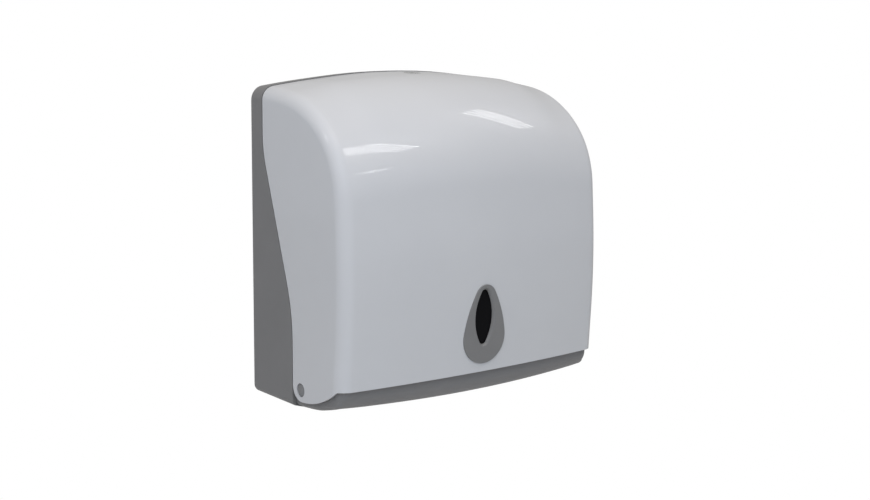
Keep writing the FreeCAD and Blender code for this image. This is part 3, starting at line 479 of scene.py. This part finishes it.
# Each opening takes the place of a block of the grid, from one row to another (found by depth for the lock and
# by height for the window) and a few columns to each side, and is filled with rings down to its own edge.
lockPlace = {
    "depth": 38.0, "hole": 7.55, "rowsAt": (-22.0, -55.0), "columns": 4, "rings": 6, "search": (1.2, 4.0),
}
windowPlace = {
    "height": 60.7, "depth": 133.735, "tilt": 3.4,
    "heel": -10.9, "heelRadius": 21.8, "tip": 21.3, "tipRadius": 11.0, "flank": 97.0,
    "eyeHeel": -13.5, "eyeTip": 24.3, "eyeEndRadius": 3.6, "eyeFlank": 39.95,
    "collar": 2.3, "collarFit": 0.15,
    "rowsAt": (104.0, 34.0), "columns": 7, "rings": 9, "search": (3.5, 6.98), "frontFrom": -100.0,
}


# how far the top falls towards its sides: one smooth step across the width behind, another in front
def shoulderDrop(x, depth, z):
    s = shoulders
    forward = smooth(depth, *s["depth"])
    rear = s["rear"] * smooth(np.abs(x), *s["rearWidth"])
    front = s["front"] * smooth(np.abs(x), *s["frontWidth"])
    return (rear * (1 - forward) + front * forward) * smooth(z, *s["height"])


# the roof's fall for each millimetre forward
def roofSlope(bulge):
    return (dispenser["sideHeight"] - dispenser["browHeight"]) / (dispenser["browDepth"] + bulge)


# the side-view outline at one place across the width, from behind the wall's plane to the chin
def sectionPath(crown, bulge, rise):
    d = dispenser
    top, behind = d["sideHeight"] + crown, d["pastWall"]
    lean = d["wingDrop"] * (d["midDepth"] - d["chinDepth"]) / (d["midHeight"] - rise)
    corners = [
        (behind, top - d["rimFall"] * (1 + behind / d["rimCrease"]), 0),
        (-d["rimCrease"], top - d["rimCrease"] * roofSlope(bulge), d["rimCreaseRadius"]),
        (-d["browDepth"] - bulge, d["browHeight"] + crown, d["browRadius"]),
        (-d["midDepth"] - bulge, d["midHeight"], d["midRadius"]),
        (-d["chinDepth"] - bulge + lean, rise - d["wingDrop"], 0)]
    return roundedPath(corners, coverForm["pathSteps"])


sidePath = sectionPath(0.0, 0.0, dispenser["chinRiseSide"])
middlePath = sectionPath(dispenser["roofCrown"], dispenser["frontBulge"], dispenser["chinRiseMiddle"])


# where a section stands at t: the whole part picks the run or arc, the rest is the share of it passed
def along(path, t):
    t = np.asarray(t, dtype=float)
    picked = np.clip(np.floor(t).astype(int), 0, len(path) - 1)
    answer = np.zeros(t.shape + (2,))
    for number, run in enumerate(path):
        here = picked == number
        share = (t[here] - number) * (len(run) - 1)
        for axis in (0, 1):
            answer[here, axis] = np.interp(share, np.arange(len(run)), run[:, axis])
    return answer


# side section at t plus its distance to the middle section times 1 - (x / half width) squared
def skinPoint(t, x):
    side, middle = along(sidePath, t), along(middlePath, t)
    swell = (1 - (x / dispenser["halfWidth"]) ** 2)[..., None]
    yz = side + (middle - side) * swell
    return np.concatenate([np.asarray(x)[..., None], yz], axis=-1)


# the t at which the surface reaches a wanted depth (axis 1) or height (axis 2), by halving
def findAlong(x, wanted, axis, low, high):
    low, high = np.full(np.shape(x), float(low)), np.full(np.shape(x), float(high))
    for halving in range(coverForm["halvings"]):
        middle = (low + high) / 2
        beyond = skinPoint(middle, x)[..., axis] > wanted
        low, high = np.where(beyond, middle, low), np.where(beyond, high, middle)
    return (low + high) / 2


# the place of the value nearest to the wanted one, among those allowed
def nearestPlace(values, wanted, allowed=True):
    return int(np.argmin(np.where(allowed, np.abs(values - wanted), np.inf)))


# the wing's edge in the side view, from the front low corner round the lobe and up to the roof
def wingOutline():
    f, low, rear = wingForm, coverForm["lowEdge"], -coverForm["rearEdge"]
    corners = [
        (f["pastFront"], low, 0), (-f["frontCorner"], low, f["frontCornerRadius"]),
        (-f["kneeDepth"], f["lobeFoot"], f["kneeRadius"]), (-f["lobeRear"], f["lobeFoot"], f["lobeRadius"]),
        (-f["lobeRear"], f["sweepFoot"], f["sweepFootRadius"]),
        (rear, f["sweepTop"], f["sweepTopRadius"]), (rear, f["pastTop"], 0)]
    pieces = roundedPath(corners, f["outlineSteps"])
    outline = np.concatenate([pieces[0]] + [piece[1:] for piece in pieces[1:]])
    apart = np.linalg.norm(np.diff(outline, axis=0), axis=1) > f["nearPoints"]
    return outline[np.append(True, apart)]


# height of the cover's lower edge where the side view has this depth
def cutHeight(depth):
    edge = wingOutline()
    low = edge[:np.argmin(edge[:, 1]) + 1]
    return np.interp(depth, low[:, 0], low[:, 1])


# grid places round the edge of a block, as rows and columns, going once round
def blockEdge(top, foot, left, right):
    wide, tall = right - left, foot - top
    rows = np.concatenate([
        np.full(wide, top), np.arange(top, foot), np.full(wide, foot), np.arange(foot, top, -1)])
    columns = np.concatenate([
        np.arange(left, right), np.full(tall, right), np.arange(right, left, -1), np.full(tall, left)])
    return rows, columns


# Heel and tip circles on the middle line, joined by two flank arcs that touch both: a flank's centre lies at
# flank radius - circle radius from each circle's centre. Growth widens every radius alike.
def arcOutline(heel, heelRadius, tip, tipRadius, flank, growth, counts=(44, 32, 16)):
    span, toHeel, toTip = tip - heel, flank - heelRadius, flank - tipRadius
    rise = (toHeel ** 2 - toTip ** 2 + span ** 2) / (2 * span)
    aside = math.sqrt(toHeel ** 2 - rise ** 2)
    low, high = math.atan2(-rise, aside), math.atan2(span - rise, aside)
    arcs = [((0, heel), heelRadius, -math.pi - low, low, counts[0]),
            ((-aside, heel + rise), flank, low, high, counts[1]),
            ((0, tip), tipRadius, high, math.pi - high, counts[2]),
            ((aside, heel + rise), flank, math.pi - high, math.pi - low, counts[1])]
    loop = []
    for centre, radius, start, end, count in arcs:
        turn = np.linspace(start, end, count, endpoint=False)
        loop.append(np.array(centre) + (radius + growth) * np.stack([np.cos(turn), np.sin(turn)], axis=1))
    return np.concatenate(loop)


# the teardrop and the pointed oval in it, in the window's own plane
def dropOutline(growth):
    w = windowPlace
    return arcOutline(w["heel"], w["heelRadius"], w["tip"], w["tipRadius"], w["flank"], growth)


def eyeOutline(growth):
    w = windowPlace
    return arcOutline(w["eyeHeel"], w["eyeEndRadius"], w["eyeTip"], w["eyeEndRadius"], w["eyeFlank"], growth)


def eyeCentre():
    return np.array([0.0, (windowPlace["eyeHeel"] + windowPlace["eyeTip"]) / 2])


# distance from a centre to a loop round it, for any direction
def reachOf(loop, centre):
    offset = loop - centre
    turn, reach = np.arctan2(offset[:, 1], offset[:, 0]), np.linalg.norm(offset, axis=1)
    order = np.argsort(turn)
    return lambda wanted: np.interp(wanted, turn[order], reach[order], period=2 * math.pi)


# The cover's points, a row for each place along the section: a crowned field, and beside it the corner's arc
# from the field's own lean to upright, which ends on the plane side.
def coverGrid():
    f, d = coverForm, dispenser
    half, radius = d["halfWidth"], d["cornerRadius"]
    begin = findAlong(np.array([half]), -f["rearEdge"], 1, *f["creaseSearch"])[0]
    spans = [(begin, 2, f["creaseRows"]), (2, 3, f["roofRows"]), (3, 4, f["browRows"]),
             (4, 5, f["upperRows"]), (5, 6, f["midRows"])]
    rows = np.concatenate([np.linspace(start, end, count, endpoint=False) for start, end, count in spans] + [
        np.linspace(6, f["lastRow"], f["lowRows"] + 1)])

    # the section's direction and its outward normal, and how far the middle stands out and slides along
    side, middle = along(sidePath, rows), along(middlePath, rows)
    ahead, behind = np.minimum(rows + f["slopeStep"], f["pathEnd"]), np.maximum(rows - f["slopeStep"], 0)
    tangent = unit(along(sidePath, ahead) - along(sidePath, behind))
    outward = np.stack([tangent[:, 1], -tangent[:, 0]], axis=1)
    outward = np.where(((middle - side) * outward).sum(axis=1, keepdims=True) < 0, -outward, outward)
    rise = ((middle - side) * outward).sum(axis=1)
    slide = ((middle - side) * tangent).sum(axis=1)

    # where the corner starts: its arc leaves the field along the field's lean and meets the side at full width
    edge = np.full(len(rows), half - radius)
    for closer in range(f["leanRounds"]):
        lean = np.arctan(2 * rise * edge / half ** 2)
        edge = half - radius * (1 - np.sin(lean))
    lift = rise * (1 - (edge / half) ** 2) - radius * np.cos(lean)
    x = edge[:, None] * np.linspace(-1, 1, 2 * f["halfColumns"] + 1)
    field = skinPoint(np.broadcast_to(rows[:, None], x.shape), x)
    turn = lean[:, None] + (math.pi / 2 - lean)[:, None] * np.linspace(0, 1, f["cornerColumns"] + 1)[1:]
    x = half - radius + radius * np.sin(turn)
    height = lift[:, None] + radius * np.cos(turn)
    shift = slide[:, None] * (1 - (x / half) ** 2)
    yz = side[:, None] + outward[:, None] * height[..., None] + tangent[:, None] * shift[..., None]
    right = np.concatenate([x[..., None], yz], axis=-1)
    grid = np.concatenate([right[:, ::-1] * np.array([-1, 1, 1]), field, right], axis=1)

    # the low rows end on the cover's lower edge, which rises to the front in the side view
    firstLow = len(rows) - 1 - f["lowRows"]
    top, foot = grid[firstLow], grid[-1]
    share = np.full(top.shape[0], 0.5)
    for closer in range(f["edgeRounds"]):
        reached = top + (foot - top) * share[:, None]
        share = share + (reached[:, 2] - cutHeight(reached[:, 1])) / (top[:, 2] - foot[:, 2])
    steps = np.linspace(0, 1, f["lowRows"] + 1)[:, None, None] * share[None, :, None]
    grid[firstLow:] = top[None] + (foot - top)[None] * steps

    # the rear edge is straight in the side view, and each row of the crease stands a little further forward
    grid[0, :, 1] = -f["rearEdge"]
    crease = np.arange(1, f["creaseRows"] + 1)
    grid[crease, :, 1] = np.minimum(grid[crease, :, 1], -f["rearEdge"] - f["leastStep"] * crease[:, None])
    # behind the lock the roof dips under the housing's rim, most at the rear edge
    back = 1 - smooth(-grid[..., 1], f["rearEdge"], f["dipEnd"])
    grid[..., 2] -= f["dip"] * back * smooth(grid[..., 2], f["dipFoot"], d["sideHeight"])
    grid[..., 2] -= shoulderDrop(grid[..., 0], -grid[..., 1], grid[..., 2])
    return grid


# Fills a block of the grid with rings from its edge to a round opening on the same surface. The rings are
# worked out in the plane of x and one other axis, and each point is then found on the surface.
def holeRing(patches, grid, block, place, centre, reach, axis):
    loop = grid[blockEdge(*block)]
    flat = loop[:, [0, axis]]
    turn = np.arctan2(flat[:, 1] - centre[1], flat[:, 0] - centre[0])
    inner = centre + reach(turn)[:, None] * np.stack([np.cos(turn), np.sin(turn)], axis=1)
    share = (np.linspace(0, 1, place["rings"] + 1) ** coverForm["crowding"])[:, None, None]
    rounds = flat[None] * (1 - share) + inner[None] * share
    points = skinPoint(findAlong(rounds[..., 0], rounds[..., 1], axis, *place["search"]), rounds[..., 0])
    points[0] = loop
    patches.grid(points, wrapColumns=True, away=coverForm["inside"])


# One plane wing: the grid's outermost column and the outline close a loop, which is triangulated down to a ring
# round the pin, and rounds run from that ring to the pin's seat.
def addWing(patches, front, sign):
    f = wingForm
    outline = wingOutline()
    lower = outline[nearestPlace(outline[:, 0], front[-1, 0], outline[:, 1] <= f["frontTop"]):]
    lower = lower[(lower[:, 0] > front[-1, 0] + f["joinGap"]) & (lower[:, 1] < front[0, 1] - f["joinGap"])]
    loop = np.concatenate([front, lower])
    pin, circle = np.array([-f["pinDepth"], f["pinHeight"]]), unitCircle(f["seatCount"])
    outer, seat = pin + f["seatRing"] * circle, pin + f["pinSeat"] * circle
    around, ringAt = np.arange(len(loop)), len(loop) + np.arange(f["seatCount"])
    edges = np.concatenate([np.stack([places, np.roll(places, -1)], axis=1) for places in (around, ringAt)])
    corners = [Vector(point) for point in np.concatenate([loop, outer]).tolist()]
    found = delaunay_2d_cdt(corners, edges.tolist(), [], 1, f["meetWithin"])  # 1: only what the loop encloses
    flat, triangles = np.array([list(point) for point in found[0]]), np.array(found[2])
    beyond = np.linalg.norm(flat - pin, axis=1) > f["seatRing"] + f["ringSlack"]
    triangles = triangles[beyond[triangles].any(axis=1)]  # those inside the ring have all their corners on it
    share = np.linspace(0, 1, f["seatRounds"] + 1)[:, None, None]
    rounds = outer[None] * (1 - share) + seat[None] * share
    wide = sign * dispenser["halfWidth"]
    patches.add(np.insert(flat, 0, wide, axis=-1), triangles, towards=(sign, 0, 0))
    patches.grid(np.insert(rounds, 0, wide, axis=-1), wrapColumns=True, towards=(sign, 0, 0))


# the grid without the blocks of its two openings, the rings in them, and the wings
def makeCover():
    f = coverForm
    grid = coverGrid()
    patches = Patchwork()
    middleColumn = f["cornerColumns"] + f["halfColumns"]
    middleLine = grid[:, middleColumn]
    faces = gridFaces(*grid.shape[:2])
    faceRow, faceColumn = np.divmod(np.arange(len(faces)), grid.shape[1] - 1)
    keep = np.ones(len(faces), dtype=bool)
    blocks = []
    for place, axis in ((windowPlace, 2), (lockPlace, 1)):
        allowed = middleLine[:, 1] <= place["frontFrom"] if "frontFrom" in place else True
        first, last = (nearestPlace(middleLine[:, axis], wanted, allowed) for wanted in place["rowsAt"])
        left, right = middleColumn - place["columns"], middleColumn + place["columns"]
        keep &= ~((faceRow >= first) & (faceRow < last) & (faceColumn >= left) & (faceColumn < right))
        blocks.append((first, last, left, right))
    patches.add(grid, faces[keep], away=f["inside"])

    raised = np.array([0, windowPlace["height"]])
    collar = eyeOutline(windowPlace["collar"] + windowPlace["collarFit"]) + raised
    eyeMiddle = eyeCentre() + raised
    holeRing(patches, grid, blocks[0], windowPlace, eyeMiddle, reachOf(collar, eyeMiddle), 2)
    holeRing(patches, grid, blocks[1], lockPlace, np.array([0.0, -lockPlace["depth"]]),
             lambda turn: np.full(turn.shape, lockPlace["hole"]), 1)
    addWing(patches, grid[:, 0, 1:], -1)
    addWing(patches, grid[:, -1, 1:], 1)
    cover = makePiece("coverShell", patches, "coverPlastic", "cover",
                      replaces=("front_cover",))
    finishEdges(cover, f["edge"], f["edgeAngle"], f["edgeSegments"], f["wall"])
    print("cover made:", len(cover.data.polygons), "faces")


makeCover()


# The window: a teardrop bezel with a deep bevel round its eye, and the dark pane behind it.
bezelForm = {
    "seat": 0.9, "proud": 0.5, "rounding": 0.45, "roundingRings": 5, "dish": 0.35, "faceRings": 10,
    "bevelWide": 1.5, "bevelDeep": 1.9, "bevelRings": 5, "paneFront": 2.35, "ledge": 1.1, "collarDepth": 4.0,
    "backRings": 5, "studs": ((-14.0, -12.0), (14.0, -12.0), (0.0, -26.5)), "studRadius": 1.1, "studReach": 4.2,
    "studRoot": 0.7, "studChamfer": 0.3, "studCount": 24, "edge": 0.12, "edgeAngle": 30,
    "inside": (0.0, 6.0), "insideDepth": 2.0,  # a point inside the bezel's solid
}
paneForm = {
    "fit": 0.05, "crown": 0.12, "rings": (0.0, 0.2, 0.45, 0.7, 0.88, 1.0), "edge": 0.15, "edgeAngle": 40,
}


# a loop in the window's own plane, moved out along the plane's normal: the plane leans by the tilt
def onWindow(loop, out):
    w = windowPlace
    sine, cosine = math.sin(math.radians(w["tilt"])), math.cos(math.radians(w["tilt"]))
    across, up = loop[..., 0], loop[..., 1]
    out = np.broadcast_to(out, across.shape)
    y, z = -w["depth"] - up * sine - out * cosine, w["height"] + up * cosine - out * sine
    return np.stack([across, y, z], axis=-1)


# rings (share of the way from the teardrop to the eye, growth, height) carried round the two outlines
def ringsRound(steps):
    return np.stack([onWindow(dropOutline(growth) * (1 - share) + eyeOutline(growth) * share, out)
                     for share, growth, out in steps])


# The bezel's profile in rings: a quarter circle for the rim, a face that sinks by dish * share squared, an even
# bevel, the collar with the pane's rebate, and a flat back.
def makeBezel():
    f, collar = bezelForm, windowPlace["collar"]
    turns = np.linspace(0, math.pi / 2, f["roundingRings"])
    top = f["proud"] - f["dish"]
    steps = [(0, -f["rounding"] * (1 - math.cos(a)), f["proud"] - f["rounding"] * (1 - math.sin(a)))
             for a in turns]
    steps += [(share, f["bevelWide"] * share - f["rounding"] * (1 - share), f["proud"] - f["dish"] * share ** 2)
              for share in np.linspace(0, 1, f["faceRings"])[1:]]
    steps += [(1, f["bevelWide"] * (1 - share), top - f["bevelDeep"] * share)
              for share in np.linspace(0, 1, f["bevelRings"])[1:]]
    steps += [(1, 0, -f["paneFront"]), (1, f["ledge"], -f["paneFront"]), (1, f["ledge"], -f["collarDepth"]),
              (1, collar, -f["collarDepth"]), (1, collar, -f["seat"])]
    steps += [(share, collar * share, -f["seat"]) for share in np.linspace(1, 0, f["backRings"])[1:]]
    patches = Patchwork()
    inside = onWindow(np.array(f["inside"]), -f["insideDepth"])
    patches.grid(ringsRound(steps), wrapRows=True, wrapColumns=True, away=inside)
    axis = onWindow(np.zeros(2), 1.0) - onWindow(np.zeros(2), 0.0)
    root, radius, reach, chamfer = f["studRoot"], f["studRadius"], f["studReach"], f["studChamfer"]
    profile = [(0, -root), (radius, -root), (radius, chamfer - reach), (radius - chamfer, -reach), (0, -reach)]
    for stud in f["studs"]:
        lathe(patches, profile, onWindow(np.array(stud), 0.0), axis, f["studCount"])
    bezel = makePiece("windowBezel", patches, "bezelPlastic", "cover",
                      replaces=("window_bezel",))
    finishEdges(bezel, f["edge"], f["edgeAngle"])


# the pane: the eye's outline grown into its rebate, faintly crowned, its two faces closed at the middle
def makePane():
    f, b = paneForm, bezelForm
    middle = eyeCentre()
    reach = eyeOutline(b["ledge"] - f["fit"]) - middle
    front, back = -b["paneFront"] - f["fit"], -b["collarDepth"] + f["fit"]
    rings = [onWindow(middle + reach * share, back) for share in f["rings"]]
    rings += [onWindow(middle + reach * share, front - f["crown"] * share ** 2) for share in f["rings"][::-1]]
    patches = Patchwork()
    patches.grid(np.stack(rings), wrapColumns=True, away=onWindow(middle, (front + back) / 2))
    pane = makePiece("windowPane", patches, "smokedPane", "cover",
                     replaces=("window_pane",))
    finishEdges(pane, f["edge"], f["edgeAngle"])


makeBezel()
makePane()
print("window made")


# The hinge pins: a domed head let into the wing, a shank through the boss, a groove for the clip.
pinForm = {
    "headRadius": 5.4, "headDepth": 1.6, "proud": 0.3, "domeMargin": 0.3, "domeRise": 1.25, "domeRings": 12,
    "rim": ((0.08, 0.12), (0.0, 0.35)),  # in from the head's radius, and down from the dome's foot
    "shankRadius": 3.0, "reach": 12.85, "grooveRadius": 2.3, "grooveWide": 0.8, "tail": 1.6, "chamfer": 0.5,
    "count": 72, "sharpAngle": 32,
}


# the dome's depth = sphere radius - root(sphere radius squared - radius squared), then come the shank's steps
def makePin(side, sign):
    f = pinForm
    head, shank, groove = f["headRadius"], f["shankRadius"], f["grooveRadius"]
    domeRadius = head - f["domeMargin"]
    sphere = (domeRadius ** 2 + f["domeRise"] ** 2) / (2 * f["domeRise"])
    dome = [(radius, sphere - math.sqrt(sphere ** 2 - radius ** 2))
            for radius in np.linspace(0, domeRadius, f["domeRings"])]
    rim = [(head - inward, f["domeRise"] + down) for inward, down in f["rim"]]
    grooveEnd = f["reach"] + f["grooveWide"]
    end = grooveEnd + f["tail"]
    profile = dome + rim + [
        (head, f["headDepth"]), (shank, f["headDepth"]), (shank, f["reach"]),
        (groove, f["reach"]), (groove, grooveEnd), (shank, grooveEnd),
        (shank, end - f["chamfer"]), (shank - f["chamfer"], end), (0, end)]
    outer = (sign * (dispenser["halfWidth"] + f["proud"]), -wingForm["pinDepth"], wingForm["pinHeight"])
    patches = lathe(Patchwork(), profile, outer, (-sign, 0, 0), f["count"])
    pin = makePiece("hingePin" + side, patches, "pinPlastic", "housing",
                    replaces=("hinge_pin_" + side.lower(),))
    shadeEvenly(pin, f["sharpAngle"])


makePin("Left", -1)
makePin("Right", 1)
print("hinge pins made")


# The pad under the roof that the cam lock is clamped against.
padForm = {
    "radius": 11.0, "depth": 4.0, "bore": 5.3, "overlap": 0.3, "chamfer": 0.3, "count": 64, "sharpAngle": 32,
}


# a chamfered ring whose axis stands square to the roof
def makeLockPad():
    f, slope = padForm, roofSlope(dispenser["frontBulge"])
    height = dispenser["sideHeight"] + dispenser["roofCrown"] - lockPlace["depth"] * slope
    top, foot = -coverForm["wall"] + f["overlap"], -f["depth"]
    profile = [(f["bore"], top), (f["radius"], top), (f["radius"], foot + f["chamfer"]),
               (f["radius"] - f["chamfer"], foot), (f["bore"], foot)]
    axis = (0, -math.sin(math.atan(slope)), math.cos(math.atan(slope)))
    patches = lathe(Patchwork(), profile, (0.0, -lockPlace["depth"], height), axis, f["count"], ring=True)
    pad = makePiece("lockPad", patches, "coverPlastic", "cover")
    shadeEvenly(pad, f["sharpAngle"])


makeLockPad()
print("lock pad made")


# The housing: the CAD's own form with tighter lower corners, skirts that hang lower under the pins, a rim that
# stands level and the roof's own dip and shoulders. A corner is its arc's centre (x and z) and its radius.
housingForm = {
    "weld": 0.01, "sharpAngle": 28,
    "tightRadius": 4.0, "rearRadius": 7.0, "rearEnd": 35.0, "straightShare": 1 / 6,
    "skinCorner": (123.0, 12.0, 12.0), "skinSlack": 0.05, "skinEnd": 57.5,
    "boxCorner": (123.66, 8.04, 8.04), "boxSlack": 0.6, "boxFade": (108.0, 119.0),
    "keelStart": 86.5, "keelRadius": 40.0, "keelTurn": 20.0,
    "skirt": (100, 120), "flare": 0.9, "flareDepth": 62.0, "flareSpread": 14.0, "flareHeight": (2.5, 7.5),
    "lift": 1.4, "liftDepth": 95.0, "liftSpread": 10.0, "liftHeight": (4, 14),
    "rimLift": 0.35, "rimDepth": 15.5, "rimHeight": (215.0, 245.0),
    "boxDip": 0.4, "boxDipDepth": (17.3, 30.0),
}


# How far points on a quarter circle of the old radius move out and up to lie on a straight, a tighter quarter
# circle and a straight: the turn's first and last shares run along the straights, the rest turns tighter.
def tighten(x, z, corner, foot, radius, slack):
    old, touching, tiny = corner[2], 1e-3, 1e-6
    across, down = x - corner[0], corner[1] + foot - z
    chosen = (across > touching) & (down > touching) & (np.abs(np.hypot(across, down) - old) < slack)
    share = np.arctan2(down, across) / (math.pi / 2)
    straight = (old - radius) / (2 * (old - radius) + radius * math.pi / 2)
    cut = np.minimum(straight, housingForm["straightShare"]) + tiny
    turn = np.clip((share - cut) / (1 - 2 * cut), 0, 1) * math.pi / 2
    first, last = np.clip(share / cut, 0, 1), np.clip((share - 1 + cut) / cut, 0, 1)
    newAcross = (old - radius) * (1 - last) + radius * np.cos(turn)
    newDown = (old - radius) * first + radius * np.sin(turn)
    return np.where(chosen, corner[0] + newAcross - x, 0), np.where(chosen, corner[1] + foot - newDown - z, 0)


# the box's foot in the side view: level, then an arc, then a straight climb to the chin
def keelRise(depth):
    radius, turn = housingForm["keelRadius"], math.radians(housingForm["keelTurn"])
    past = depth - housingForm["keelStart"]
    onArc = np.clip(past, 0, radius * math.sin(turn))
    return radius - np.sqrt(radius ** 2 - onArc ** 2) + math.tan(turn) * np.clip(past - onArc, 0, None)


# 1 at the centre, falling off on both sides: e to the power of -((depth - centre) / spread) squared
def bell(depth, centre, spread):
    return np.exp(-((depth - centre) / spread) ** 2)


# every point of the CAD's mesh is moved: corners first, then the skirts, the rim, the shoulders and the dip
def makeHousing():
    f = housingForm
    source = nodes["back_housing"].data
    points = np.empty(len(source.vertices) * 3)
    source.vertices.foreach_get("co", points)
    faces = np.empty(len(source.polygons) * 3, dtype=np.int32)
    source.polygons.foreach_get("vertices", faces)
    points = points.reshape(-1, 3) / millimetre
    side, x, depth, z = np.sign(points[:, 0]), np.abs(points[:, 0]), -points[:, 1], points[:, 2]
    z = z + dispenser["originHeight"]
    radius = f["rearRadius"] + (f["tightRadius"] - f["rearRadius"]) * smooth(depth, 0, f["rearEnd"])
    foot = keelRise(depth)
    skin, box = depth < f["skinEnd"], (depth >= f["skinEnd"]) * (1 - smooth(depth, *f["boxFade"]))
    skinX, skinZ = tighten(x, z, f["skinCorner"], 0, radius, f["skinSlack"])
    boxX, boxZ = tighten(x, z, f["boxCorner"], foot, f["tightRadius"], f["boxSlack"])
    x, z = x + skinX * skin + boxX * box, z + skinZ * skin + boxZ * box
    # two bell curves along the depth: the skirt hangs a little lower under the pin and higher before the chin
    hang = f["flare"] * bell(depth, f["flareDepth"], f["flareSpread"]) * (1 - smooth(z, *f["flareHeight"]))
    climb = f["lift"] * bell(depth, f["liftDepth"], f["liftSpread"]) * (1 - smooth(z - foot, *f["liftHeight"]))
    z = z + (climb - hang) * smooth(x, *f["skirt"])
    # the rim stands level behind the crease, and the box dips with the cover's roof in front of it
    high = smooth(z, *f["rimHeight"])
    z = z + f["rimLift"] * np.clip(1 - depth / f["rimDepth"], 0, 1) * high
    z = z - shoulderDrop(x, depth, z)
    z = z - f["boxDip"] * high * (depth > f["boxDipDepth"][0]) * (1 - smooth(depth, *f["boxDipDepth"]))
    patches = Patchwork()
    patches.add(np.stack([side * x, -depth, z], axis=1), faces.reshape(-1, 3))
    housing = makePiece("housingShell", patches, "housingPlastic", "housing",
                        weld=f["weld"], replaces=("back_housing",))
    shadeEvenly(housing, f["sharpAngle"])
    print("housing made:", len(housing.data.polygons), "faces")


makeHousing()


# the finish of each node that shows as it comes from the CAD
nodeFinishes = {
    "housingPlastic": ["outlet_frame", "towel_adapter_left", "towel_adapter_right"],
    "pinPlastic": ["hinge_washer_left", "hinge_washer_right"],
    "zincSteel": ["strike_plate", "strike_screws", "pin_clip_left", "pin_clip_right", "bezel_clips",
                  "lock_washer", "lock_cam", "cam_washer", "cam_screw"],
    "lockMetal": ["lock_body", "lock_nut", "lock_plug"],
}
for finish, names in nodeFinishes.items():
    for name in names:
        for materialSlot in nodes[name].material_slots:
            materialSlot.material = materials[finish]
print("finishes set on", sum(len(names) for names in nodeFinishes.values()), "nodes")
